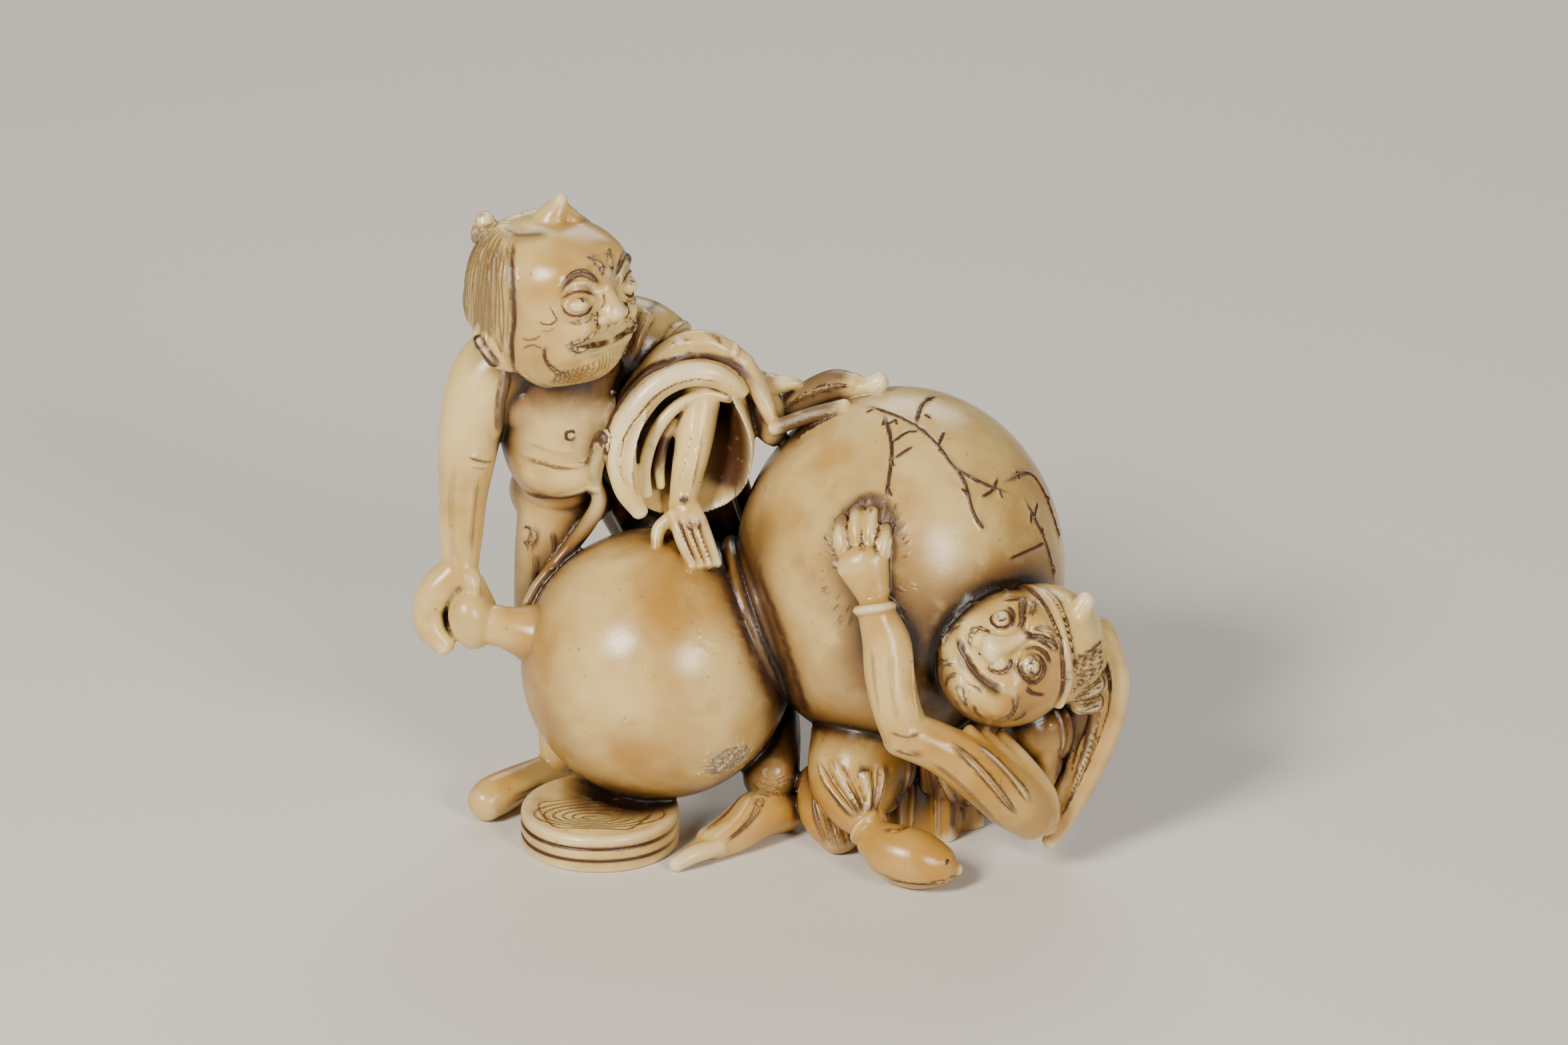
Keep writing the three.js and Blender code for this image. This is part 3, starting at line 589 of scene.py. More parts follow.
SLEEVE_LIP_B = [[19.6, -3.9, 16.2, 0.6], [20.7, -3.8, 15.2, 0.65], [21.5, -3.7, 13.2, 0.65],
                [21.6, -3.7, 11.6, 0.65], [21.2, -3.8, 9.3, 0.65], [20.0, -4.0, 6.2, 0.65],
                [18.5, -4.3, 3.4, 0.6], [17.4, -4.5, 1.7, 0.5]]


def sleeve_b():
    """The wide sleeve seen into from the front: a wall, the lip round it, folds, and a wrist inside."""
    wall = ball([18.9, -1.9, 8.9], [2.7, 2.0, 7.2], turn=[0, 13, 0])
    middle = limb([[20.4, -3.6, 13.6, 0.4], [20.6, -3.7, 11.4, 0.5], [20.0, -3.8, 8.8, 0.5],
                   [18.9, -4.0, 5.6, 0.5], [17.7, -4.5, 2.8, 0.4]])
    inner = limb([[19.5, -3.3, 12.4, 0.4], [19.7, -3.3, 10.6, 0.45], [18.9, -3.5, 7.8, 0.45],
                  [17.9, -4.2, 4.6, 0.4]])
    arm_folds = [limb([[12.2 + k * 1.0, -7.5 + k * 0.5, 10.8 - k * 0.4, 0.4],
                       [14.0 + k * 0.9, -7.6 + k * 0.55, 8.8 - k * 0.4, 0.55],
                       [15.8 + k * 0.7, -6.9 + k * 0.5, 6.2 - k * 0.3, 0.6],
                       [17.1 + k * 0.2, -5.3 + k * 0.2, 3.0, 0.5]]) for k in (0, 1, 2)]
    wrist = limb([[16.9, -4.6, 9.2, 0.7], [17.0, -4.6, 7.4, 0.9], [16.9, -4.8, 5.8, 0.7]])
    return [wall, limb(SLEEVE_LIP_B), middle, inner, *arm_folds, wrist,
            ball([17.2, -4.7, 9.9], [0.65, 0.7, 0.6])]


FOOT_B = [[6.5, -5.7, 2.4, 1.3], [7.6, -6.6, 2.1, 1.75], [9.2, -7.3, 1.8, 1.85],
          [10.9, -7.7, 1.5, 1.2], [11.6, -7.8, 1.4, 0.4]]


def body_b():
    """His back, the skirt of the robe with its fluted folds, one trouser leg tied above the foot, and
    the hem beside it."""
    torso = limb([[16.6, -3.2, 9.4, 2.6], [14.2, -0.8, 7.0, 3.0], [10.8, 2.2, 4.8, 3.6]])
    robe = limb([[8.4, 3.4, 6.8, 4.2], [8.3, 3.4, 3.6, 5.0], [8.2, 3.4, 0.2, 5.3]], flat=1.1,
                up=(1, 0, 0), folds=11, depth=0.12)
    trouser = limb([[6.0, 0.4, 6.2, 3.6], [5.4, -1.8, 4.9, 3.1], [5.5, -3.6, 3.8, 2.1],
                    [6.0, -5.0, 3.0, 1.1]])
    hem = limb([[3.4, 0.4, 3.4, 1.8], [3.6, -1.2, 2.2, 1.8], [4.4, -2.4, 1.2, 1.4]])
    band = turned([6.1, -5.0, 2.9], [0.75, -1.0, -0.5], CUFF, 60)
    return [torso, robe, trouser, hem, band, limb(FOOT_B, up=(0, 0, 1))]


forms += pushing_arm_b() + sleeve_b() + body_b()
print("with his arms, sleeve and robe:", len(forms), "forms in all")

# %% [markdown]
# ## One solid
#
# The forms only overlap so far. Each group is poured into a block of small cells that hold the
# distance to the nearest surface, below nought inside. The lower of two blocks joins two shapes and
# the higher of one and the other's opposite cuts it, and the skin where the distance is nought comes
# back as one closed mesh. A Remesh modifier does the same, but blocks also let a shape be cut.

# %% Blocks of distances
CELL = 0.11
BAND = 3.0  # cells on each side of the skin in which the distance is known
BLOCK_LOW = np.array([-24.0, -11.5, -1.5])
BLOCK_HIGH = np.array([23.7, 16.7, 43.0])
BLOCK_START = np.floor(BLOCK_LOW / CELL).astype(int)
BLOCK_SHAPE = np.ceil((BLOCK_HIGH - BLOCK_LOW) / CELL).astype(int)
print("block:", BLOCK_SHAPE, "cells of", CELL, "mm")


def block_of(shells):
    """Distances in millimetres to the skin of overlapping closed shells."""
    starts = np.cumsum([0] + [len(points) for points, _ in shells[:-1]])
    points = np.vstack([points for points, _ in shells]).astype(np.float32)
    quads = np.vstack([quads + start for (_, quads), start in zip(shells, starts)])
    grid = vdb.FloatGrid.createLevelSetFromPolygons(
        points, quads=quads.astype(np.uint32), halfWidth=BAND,
        transform=vdb.createLinearTransform(voxelSize=CELL))
    block = np.empty(BLOCK_SHAPE, np.float32)
    grid.copyToArray(block, ijk=tuple(int(i) for i in BLOCK_START))
    return block


def skin_of(block):
    """The closed mesh where a block's distance is nought: points and quads."""
    grid = vdb.FloatGrid(background=BAND * CELL)
    grid.copyFromArray(block, tolerance=0.0)
    points, _, quads = grid.convertToPolygons(isovalue=0.0, adaptivity=0.0)
    return points.astype(float) * CELL + BLOCK_START * CELL, quads.astype(np.int64)[:, ::-1]


# %% Joining, cutting and the skin
cloth = block_of(sleeve_cloth_a())
np.maximum(cloth, -block_of(sleeve_mouth_a()), out=cloth)
carving = block_of(forms)
np.minimum(carving, cloth, out=carving)
level = (BLOCK_START[2] + np.arange(BLOCK_SHAPE[2])) * CELL
np.maximum(carving, -level.astype(np.float32), out=carving)  # cut off flat below Z = 0
points, quads = skin_of(carving)
print("one solid:", len(points), "points", points.min(0).round(2), points.max(0).round(2))

# %% [markdown]
# ## Engraving
#
# The carver draws hair, wrinkles and folds with a burin, a steel point that leaves a narrow furrow
# with tapered ends, and stain lodges in every furrow. One record per line does both jobs: it sinks
# the skin by a smooth profile across the line, and it says how much the skin is darkened. A negative
# depth raises a ridge such as a tendon, and a line without depth only darkens: stain in some places,
# painted shade in broad shaded places.

# %% The burin
chance = np.random.default_rng(7)
lines = []
LINE_STEP = 0.35     # millimetres between the points that a line is worked out at
FINE_WIDTH = 0.23    # a cut line with a smaller half-width counts as fine
STAIN_WIDTH = 1.3    # stain bleeds this much wider than the cut
BLUNT_TIP = 0.25     # share of the full depth at the very end of a line
TAPER = 5            # the full depth is reached at about a seventh of the line's length


def line(path, half_width, depth, stain_and_shade=0.8, reach=1.0):
    """Records a line through the points of path. It works within reach of the path along the
    skin's normal, so a path may pass a little above or below the skin."""
    p = np.asarray(path, float)
    count = max(3, int(np.linalg.norm(np.diff(p, axis=0), axis=1).sum() / LINE_STEP))
    lines.append((spline(p, np.linspace(0, 1, count)), half_width, depth, stain_and_shade, reach))


def engrave(points, normals, slack=0.0):
    """How deep each point is sunk, how much it is darkened by stain and painted shade, and how near a
    fine line it lies. With d the distance to a line in the plane square to the normal, the share is
    (1 - (d / half_width)^2)^2, drawn in at both ends. Slack widens the reach, for skin that is
    already sunk."""
    order = np.argsort(points[:, 0])
    ladder = points[order, 0]
    sink, stain, fine = np.zeros((3, len(points)))
    for path, width, depth, stain_and_shade, reach in lines:
        low, high = path.min(0) - reach - width, path.max(0) + reach + width
        near = order[np.searchsorted(ladder, low[0]):np.searchsorted(ladder, high[0])]
        here = points[near, 1:]
        near = near[((here > low[1:]) & (here < high[1:])).all(1)]
        if not len(near):
            continue
        step = np.diff(path, axis=0)
        gap = points[near][:, None] - path[:-1]
        n = normals[near]
        lift = np.einsum("pki,pi->pk", gap, n)
        climb = n @ step.T
        flat = (step**2).sum(1) - climb**2 + 1e-9
        ahead = np.einsum("pki,ki->pk", gap, step) - lift * climb
        along = np.clip(ahead / flat, 0, 1)
        away = (gap**2).sum(2) - lift**2 - 2 * along * ahead + along**2 * flat
        away[np.abs(lift - along * climb) > reach + slack] = 1e9
        best = away.argmin(1)
        row = np.arange(len(near))
        d = np.sqrt(np.maximum(away[row, best], 0))
        gone = (best + along[row, best]) / len(step)
        taper = np.minimum(1, BLUNT_TIP + TAPER * np.minimum(gone, 1 - gone))
        share = np.clip(1 - (d / width) ** 2, 0, 1) ** 2
        sink[near] += depth * taper * share
        if depth and width < FINE_WIDTH:
            fine[near] = np.maximum(fine[near], share)
        new = stain_and_shade * taper * np.clip(1 - (d / (STAIN_WIDTH * width)) ** 2, 0, 1) ** 2
        stain[near] = np.where(np.abs(new) > np.abs(stain[near]), new, stain[near])
    return sink, stain, fine


def face(head, table, out=0.1, other_side=False, bold=1.0):
    """Lines on a head. Each row is its marks [turn, lift], half-width, depth and strength of stain and
    painted shade. Bold widens and deepens them all."""
    for marks, width, depth, stain_and_shade in table:
        for path in ([marks, mirrored(marks)] if other_side else [marks]):
            line(on_face(HEADS[head], path, out), bold * width, bold * depth, stain_and_shade)


# %% [markdown]
# ### Lines of the two heads
#
# Brows, lids, creases, lips and ears are short strokes, so each is a few marks of turn and lift with
# a half-width, a depth and a strength of stain. The standing demon's strokes are cut on both sides of
# his nose. The crouching demon's face is twisted, so his are cut one by one. Hair is many strands
# side by side, each a little off true, as a hand leaves them.

# %% Lines of the standing demon's head
face("A", [
    ([[44, 23], [35, 32], [26, 34], [17, 31], [8, 23]], 0.24, 0.22, 0.9),
    ([[41, 23], [34, 27], [25, 28], [16, 24], [12, 19]], 0.2, -0.16, -0.6),
    ([[44, 18], [34, 22], [24, 22], [14, 18]], 0.13, 0.16, 1.0),
    ([[43, 18], [40, 10], [33, 7], [24, 8], [16, 14]], 0.13, 0.15, 1.0),
    ([[39, 4], [31, 2], [23, 4], [17, 8]], 0.11, 0.09, 0.7),
    ([[28, 15], [27.5, 16]], 0.26, 0.1, 1.0),
    ([[51, 14], [47, 8], [45, 4]], 0.11, 0.1, 0.9),
    ([[59, 3], [51, 1], [45, 5]], 0.11, 0.1, 0.9),
    ([[58, -4], [51, -3], [46, 0]], 0.1, 0.08, 0.7),
    ([[14, 7], [17, 2], [13, -4]], 0.16, 0.2, 1.0),
    ([[6, -4], [5, -3]], 0.22, 0.2, 1.0),
    ([[8, 19], [5, 14], [8, 9]], 0.12, 0.1, 0.8),
    ([[13, 41], [5, 36], [5, 31]], 0.15, 0.14, 0.9),
    ([[17, 44], [9, 40], [4, 34]], 0.12, 0.1, 0.8),
    ([[16, -4], [24, -8], [32, -10], [40, -12]], 0.15, 0.15, 0.8),
    ([[0, -17], [12, -17], [22, -15], [30, -16], [38, -12]], 0.23, 0.28, 1.0),
    ([[0, -11], [10, -11], [20, -9], [28, -9]], 0.22, -0.14, -0.5),
    ([[0, -22], [12, -23], [24, -22], [34, -20]], 0.22, -0.14, -0.5),
    ([[52, -12], [54, -20], [49, -28], [40, -34], [30, -36]], 0.16, 0.18, 0.9),
    ([[72, -11], [63, -11], [56, -6]], 0.12, 0.1, 0.8),
    ([[71, -19], [65, -15], [61, -14], [54, -16]], 0.12, 0.1, 0.8),
    ([[78, -46], [62, -55], [44, -58]], 0.2, 0.15, 0.6),
], other_side=True)
for turn in range(-44, 45, 4):
    bristle = [[turn, -25 - abs(turn) / 8], [turn * 1.02, -36], [turn * 1.08, -48]]
    face("A", [(bristle, 0.12, 0.09, 0.6)])
face("A", [(HAIRLINE_A, 0.24, 0.2, 0.9), (HAIRLINE_A, 0.9, 0, 0.35)], other_side=True)
face("A", [([[128, 55], [104, 58], [84, 63], [60, 67]], 0.4, 0.06, 0.7)], other_side=True)
for lean in np.arange(3, 100, 3.4):
    for side in (-1, 1):
        lift = np.linspace(54, -24, 7) + chance.uniform(-6, 6)
        start = hairline_a(lift)
        turn = start + lean * (180 - start) / 100 + chance.uniform(-2.2, 2.2, 7)
        face("A", [(np.column_stack([side * turn, lift]), 0.16, 0.08, 0.7)], out=0.4)
face("A", [([[107, -16], [101, -24], [94, -34]], 0.34, 0.4, 1.0)], out=0.6, other_side=True)
for turn in (105, 135, 165):
    face("A", [([[turn, 50], [turn, 25], [turn, 0], [turn, -20]], 2.2, 0, 0.6)], out=0.3,
         other_side=True)
print("lines on the standing demon's head:", len(lines))

# %% Lines of the crouching demon's head
face("B", [
    ([[33, 20], [29, 26], [21, 27], [13, 22], [16, 15], [24, 12], [31, 14], [33, 20]], 0.14, 0.15, 1.0),
    ([[36, 28], [27, 31], [17, 28], [11, 21]], 0.14, 0.12, 0.9),
    ([[24, 20], [23, 19]], 0.2, 0.1, 1.0),
    ([[-14, 18], [-20, 11], [-31, 9], [-42, 12], [-43, 21], [-37, 27], [-26, 28], [-17, 25]],
     0.14, 0.17, 1.0),
    ([[-11, 20], [-17, 30], [-28, 34], [-41, 31]], 0.14, 0.12, 0.9),
    ([[-28, 18], [-27, 17]], 0.16, 0.1, 1.0),
    ([[44, 27], [40, 39], [42, 46]], 0.14, 0.12, 0.9),
    ([[38, 43], [24, 38], [13, 34], [5, 26]], 0.2, 0.2, 0.9),
    ([[0, 26], [-8, 35], [-20, 41], [-34, 43]], 0.2, 0.2, 1.0),
    ([[0, 38], [-10, 46], [-24, 50]], 0.13, 0.1, 0.8),
    ([[12, 40], [24, 47], [34, 50]], 0.13, 0.1, 0.8),
    ([[-39, 5], [-48, 6], [-61, 13]], 0.14, 0.14, 0.9),
    ([[14, -10], [22, -7], [26, -1], [20, 5], [14, 3]], 0.16, 0.2, 1.0),
    ([[-12, 10], [-16, 3], [-13, -6], [-6, -10]], 0.16, 0.2, 1.0),
    ([[5, -7], [6, -6]], 0.22, 0.18, 1.0),
    ([[-7, -6], [-8, -5]], 0.22, 0.18, 1.0),
    ([[31, -15], [20, -19], [8, -20], [-7, -20], [-20, -16], [-30, -9]], 0.28, 0.32, 1.0),
    ([[20, -26], [6, -28], [-10, -28], [-26, -24]], 0.22, -0.15, -0.5),
    ([[-36, -4], [-46, -8], [-54, -15], [-57, -23], [-55, -32]], 0.16, 0.17, 0.9),
    ([[-62, -6], [-67, -13], [-67, -22]], 0.13, 0.12, 0.8),
    ([[36, -6], [43, -14], [43, -24], [36, -32]], 0.16, 0.17, 0.9),
    ([[44, -44], [30, -40], [14, -33]], 0.14, 0.13, 0.8),
    ([[5, -56], [10, -50], [9, -40], [2, -34]], 0.14, 0.13, 0.8),
    ([[-5, -36], [-17, -42], [-31, -47]], 0.14, 0.13, 0.8),
    ([[-30, -38], [-40, -42], [-50, -40]], 0.14, 0.13, 0.8),
    ([[60, 10], [64, 0], [60, -12]], 0.14, 0.12, 0.7),
    ([[58, -20], [56, -32], [46, -42]], 0.14, 0.12, 0.7),
    ([[-20, 18], [-24, 12], [-31, 12], [-36, 18], [-32, 24], [-25, 24], [-20, 18]], 0.1, 0.1, 0.9),
    ([[78, 30], [66, 34], [54, 30]], 0.13, 0.12, 0.7),
    ([[22, -32], [26, -44], [20, -56]], 0.13, 0.12, 0.7),
    ([[-14, -52], [-26, -56], [-42, -56]], 0.13, 0.12, 0.7),
], bold=1.3)
inner_band = [[turn * 0.98, lift - 6] for turn, lift in HEADBAND]
outer_band = [[turn, lift + 6] for turn, lift in HEADBAND[1:-1]]
face("B", [(inner_band, 0.2, 0.2, 1.0), (outer_band, 0.2, 0.15, 0.9)])
for k in range(LOCKS_B):
    for j in range(4):
        shift = np.array([0.12 * j - 0.2, -0.5, 0.3 * j - 0.45])
        line(shift + np.array(lock_b(k)), 0.12, 0.12, 0.8)
print("lines with the crouching demon's head:", len(lines))

# %% [markdown]
# ### Lines of bodies, cloth, cord and disc
#
# These follow no ball, so they are short paths in millimetres a little above the skin. Where a row of
# strokes repeats, as between fingers and folds, a loop steps from one to the next.

# %% Lines of arms, bodies, hands and feet
BODY_LINES = [  # points, half-width, depth, stain
    ([[-16.4, 4.4, 30.0], [-16.9, 4.2, 28.0], [-17.1, 4.6, 25.6]], 0.4, 0.3, 0.8),
    ([[-19.6, 3.4, 24.5], [-19.9, 3.6, 22.0], [-19.9, 3.0, 19.5], [-19.6, 2.6, 17.2]],
     0.25, 0.1, 0.4),
    ([[-18.4, 3.6, 23.0], [-18.6, 3.3, 21.0], [-18.9, 2.7, 18.4]], 0.22, 0.1, 0.5),
    ([[-18.9, 3.4, 24.5], [-18.0, 3.6, 24.1], [-17.2, 4.2, 23.8]], 0.15, 0.12, 0.8),
    ([[-18.7, 3.3, 23.9], [-18.0, 3.5, 23.6], [-17.4, 4.0, 23.5]], 0.12, 0.1, 0.7),
    ([[-15.5, 4.4, 24.3], [-13.0, 3.7, 23.6], [-10.8, 3.5, 24.1]], 0.16, 0.14, 0.7),
    ([[-15.8, 6.0, 21.2], [-13.1, 4.6, 21.3], [-10.7, 4.0, 21.9]], 0.35, 0.2, 1.0),
    ([[-15.2, 4.2, 25.4], [-13.6, 3.6, 24.8], [-12.4, 3.6, 24.7]], 0.14, 0.08, 0.4),
    ([[-5.0, 3.6, 26.5], [-5.4, 3.2, 24.5], [-5.8, 2.9, 22.6]], 0.15, 0.12, 0.7),
    ([[-4.2, 3.8, 26.0], [-4.6, 3.5, 24.0], [-5.0, 3.0, 22.4]], 0.15, 0.12, 0.7),
    ([[-5.8, 2.7, 22.0], [-5.1, 2.7, 21.8]], 0.4, 0.15, 0.9),
    ([[-15.9, 6.4, 18.2], [-15.3, 6.3, 18.6], [-14.8, 6.2, 18.0], [-15.2, 6.3, 17.4],
      [-15.7, 6.4, 17.6]], 0.15, 0.15, 0.9),
    ([[-14.7, 6.1, 17.0], [-14.9, 6.0, 15.5], [-15.2, 6.3, 14.0]], 0.22, 0.16, 0.8),
    ([[-13.8, 6.0, 18.6], [-13.7, 5.9, 16.8], [-14.0, 6.0, 15.0]], 0.22, 0.16, 0.8),
    ([[-1.1, -0.4, 3.4], [-2.1, -2.4, 2.5], [-3.9, -4.2, 1.6]], 0.25, -0.16, -0.4),
    ([[-0.5, -0.8, 3.0], [-1.3, -2.4, 2.2], [-3.0, -4.0, 1.3]], 0.16, 0.12, 0.8),
    ([[-1.6, -0.2, 3.4], [-2.8, -2.0, 2.4], [-4.2, -3.4, 1.5]], 0.16, 0.12, 0.8),
    ([[6.3, -7.6, 16.5], [6.4, -8.5, 14.5], [6.7, -9.0, 12.7]], 0.16, 0.1, 0.5),
    ([[7.3, -7.8, 16.3], [7.4, -8.7, 14.2], [7.8, -9.3, 12.0]], 0.14, 0.08, 0.4),
    ([[8.2, -7.0, 16.0], [8.4, -8.0, 13.8], [8.8, -8.6, 12.2]], 0.16, 0.1, 0.5),
    ([[7.2, -9.3, 11.6], [8.2, -9.6, 11.3], [9.2, -9.3, 11.4]], 0.13, 0.1, 0.7),
    ([[7.6, -9.3, 10.5], [8.5, -9.5, 10.1], [9.3, -9.3, 10.4]], 0.13, 0.1, 0.7),
    ([[11.0, -9.3, 10.8], [13.4, -9.2, 8.2], [15.2, -8.7, 5.6]], 0.2, 0.18, 0.9),
    ([[12.4, -8.6, 10.4], [14.4, -8.6, 8.4], [15.8, -8.0, 6.2]], 0.2, 0.18, 0.9),
    ([[9.8, -9.6, 9.8], [12.0, -9.4, 7.8], [14.2, -8.4, 4.8]], 0.18, 0.12, 0.6),
    ([[20.5, -4.8, 14.4], [20.6, -4.9, 12.0], [20.0, -4.8, 8.6], [18.8, -5.0, 5.4], [17.6, -5.4, 2.8]],
     0.26, 0.12, 0.9),
    ([[18.6, -4.2, 12.6], [18.9, -4.3, 9.0], [17.9, -4.6, 5.4]], 0.3, 0.2, 0.9),
    ([[19.9, -3.9, 11.6], [19.8, -4.0, 8.4], [18.8, -4.3, 5.0]], 0.25, 0.15, 0.8),
    ([[17.6, -4.2, 11.0], [17.8, -4.5, 8.4], [17.3, -4.9, 6.0]], 0.25, 0.15, 0.8),
    ([[6.3, -6.9, 1.3], [8.4, -8.8, 1.0], [10.4, -8.6, 1.1], [11.6, -8.0, 1.3]], 0.14, 0.12, 0.8),
    ([[10.8, -8.5, 2.3], [10.9, -8.5, 2.2]], 0.22, 0.15, 1.0),
    ([[7.0, -6.9, 3.4], [8.0, -7.2, 3.6], [8.6, -6.6, 3.6]], 0.13, 0.1, 0.7),
]
for path, width, depth, stain_and_shade in BODY_LINES:
    line(path, width, depth, stain_and_shade)
NIPPLE, NIPPLE_R = [-12.5, 3.6, 25.9], 0.36
circle = np.linspace(0, 2 * math.pi, 13)
line(np.column_stack([NIPPLE[0] + NIPPLE_R * np.cos(circle), NIPPLE[1] + 0 * circle,
                      NIPPLE[2] + NIPPLE_R * np.sin(circle)]), 0.12, 0.14, 1.0)
for k in range(3):
    line([[-5.75 + 0.55 * k, 2.3, 20.7], [-5.3 + 0.55 * k, 1.2, 19.8], [-4.65 + 0.52 * k, 0.0, 18.8]],
         0.14, 0.2, 1.0)
    line([on_lobe(turn, lift, 0.5) for turn, lift in [
        [-17.5 + 3.8 * k, 24], [-19.5 + 4.6 * k, 28], [-22.5 + 6.3 * k, 34]]], 0.16, 0.12, 1.0)
    line([[-0.9 - 0.2 * k, -1.0, 4.6 - 0.5 * k], [0.3 - 0.2 * k, -1.1, 4.3 - 0.5 * k],
          [1.3, -0.7, 4.6 - 0.4 * k]], 0.13, 0.1, 0.7)
print("lines with arms, bodies, hands and feet:", len(lines))

# %% Lines of cloth, cord and disc
lip = np.array(SLEEVE_LIP_A)[:, :3]
line(lip[1:-1] + [0.1, -0.7, -0.1], 0.12, 0.1, 0.8)
line(lip[1:-1] + [-0.4, -0.6, 0.4], 1.0, 0, -0.7)
line([[-9.8, 3.6, 22.6], [-10.1, 3.9, 24.6], [-10.0, 4.2, 26.4], [-9.2, 4.5, 28.0], [-7.7, 5.0, 29.5],
      [-5.6, 5.6, 30.2], [-3.6, 5.9, 30.2], [-1.9, 5.8, 29.4], [-0.8, 5.4, 27.8]], 0.4, 0.3, 1.0)
for k in range(6):
    line([[-8.6 + 1.4 * k, 6.4, 30.0 + 0.3 * math.sin(k)], [-8.2 + 1.6 * k, 8.4, 31.0 - 0.4 * k],
          [-7.6 + 1.9 * k, 10.6, 30.4 - 0.7 * k]], 0.3, 0.2, 0.7, reach=1.6)
for k in range(4):
    line([[3.1 + k * 1.2, -2.6 - 0.15 * k, 6.4], [4.2 + k * 0.8, -4.1, 5.0],
          [5.4 + 0.3 * k, -5.3, 3.8]], 0.28, 0.22, 0.8)
    line([[3.7 + k * 1.2, -2.7 - 0.15 * k, 6.3], [4.6 + k * 0.8, -4.2, 4.9],
          [5.6 + 0.3 * k, -5.3, 3.8]], 0.3, -0.14, -0.3)
    line([[2.4 + 0.7 * k, -1.8 - 0.4 * k, 4.4], [2.9 + 0.6 * k, -2.6 - 0.3 * k, 2.6],
          [3.8 + 0.4 * k, -3.2 - 0.1 * k, 0.9]], 0.22, 0.12, 0.7)
    line([[-21.5 + 0.5 * k, 4.2, 16.2], [-21.8 + 0.6 * k, 4.6, 14.4], [-21.2 + 0.6 * k, 4.2, 12.9]],
         0.16, 0.15, 0.8, reach=1.4)
for a in np.radians(np.arange(0, 360, 14)):
    c, r = np.array([math.cos(a), math.sin(a)]), chance.uniform(-0.05, 0.05)
    line([[8.3 + (4.9 + r) * c[0], 3.4 + 5.1 * c[1], 6.4], [8.3 + 5.1 * c[0], 3.4 + 5.4 * c[1], 3.4],
          [8.2 + 5.4 * c[0] + 6 * r, 3.4 + 5.7 * c[1], 0.3]], 0.36, 0.24, 0.8, reach=1.4)
for k in range(-3, 4):
    line([[-9.6 + k * 0.8, 12.2 - 0.1 * k * k, 28.0], [-8.4 + k * 1.3, 14.0 - 0.15 * k * k, 23.6],
          [-6.4 + k * 1.5, 14.8 - 0.15 * k * k, 18.6], [-5.2 + k * 1.5, 14.6 - 0.15 * k * k, 15.4]],
         0.4, 0.25, 0.7, reach=2.2)
axis = unit(WAIST_WAY)
side = unit(np.cross(axis, [0, 1, 0]))
turns = np.linspace(0, 2 * math.pi, 40)
hoop = np.cos(turns)[:, None] * side + np.sin(turns)[:, None] * np.cross(axis, side)
for along, width, stain_and_shade in [(-1.55, 0.45, 0.9), (-0.48, 0.22, 0.9), (0, 1.9, 0.5),
                          (0.48, 0.22, 0.9), (1.55, 0.45, 0.9)]:
    line(WAIST + along * axis + (WAIST_R + 0.1) * hoop, width, 0, stain_and_shade, reach=1.5)
for path in ([[0.6, 8.2, 26], [2.2, 8.0, 27], [3.9, 7.2, 28], [5.2, 6.6, 28.2]],
             [[0.2, 5.0, 25.8], [2.4, 4.6, 26.8], [4.6, 4.6, 27.3]]):
    line(path, 1.3, 0, 0.7)
    line(np.array(path) + [0, -0.9, 0.1], 0.14, 0.12, 0.9)
line([[6.0, 6.0, 28.4], [7.0, 5.8, 28.6]], 0.9, 0, -0.8)
for z in (DISC_HEIGHT / 3, DISC_HEIGHT * 2 / 3):
    line(np.column_stack([DISC[0] + DISC_R * np.cos(turns), DISC[1] + DISC_R * np.sin(turns),
                          z + 0.06 * np.sin(3 * turns)]), 0.2, 0.08, 1.0)
for k in range(7):
    swirl = np.linspace(0.3 * k, 5.6 + 0.3 * k, 16)
    x = -11.4 + (0.5 + 0.72 * k) * np.cos(swirl) + 0.12 * k
    y = -2.6 + (0.2 + 0.34 * k) * np.sin(swirl) + 0.1 * k
    held = np.hypot(x - DISC[0], y - DISC[1]) < DISC_R - 0.35
    if held.sum() > 4:
        line(np.column_stack([x, y, DISC_HEIGHT + 0 * x])[held], 0.1, 0.07, 0.8, reach=0.4)
print("lines with cloth, cord and disc:", len(lines))

# %% [markdown]
# ### Stain and painted shade without a cut
#
# Broad places are darkened too, partly stain where the polishing cloth can't reach and partly painted
# shade: deep in the sleeves, beside the cord, round the eyes, under the chins, between parts and on the
# shaded sides of the lobes. A line with no depth and a large half-width does it.

# %% Broad stain and painted shade
def on_small_lobe(turn, lift):
    """The point of the small lobe at degrees right of its front and degrees above its middle."""
    return SMALL_LOBE + SMALL_R * way(turn, lift) * [1, -1, 1]
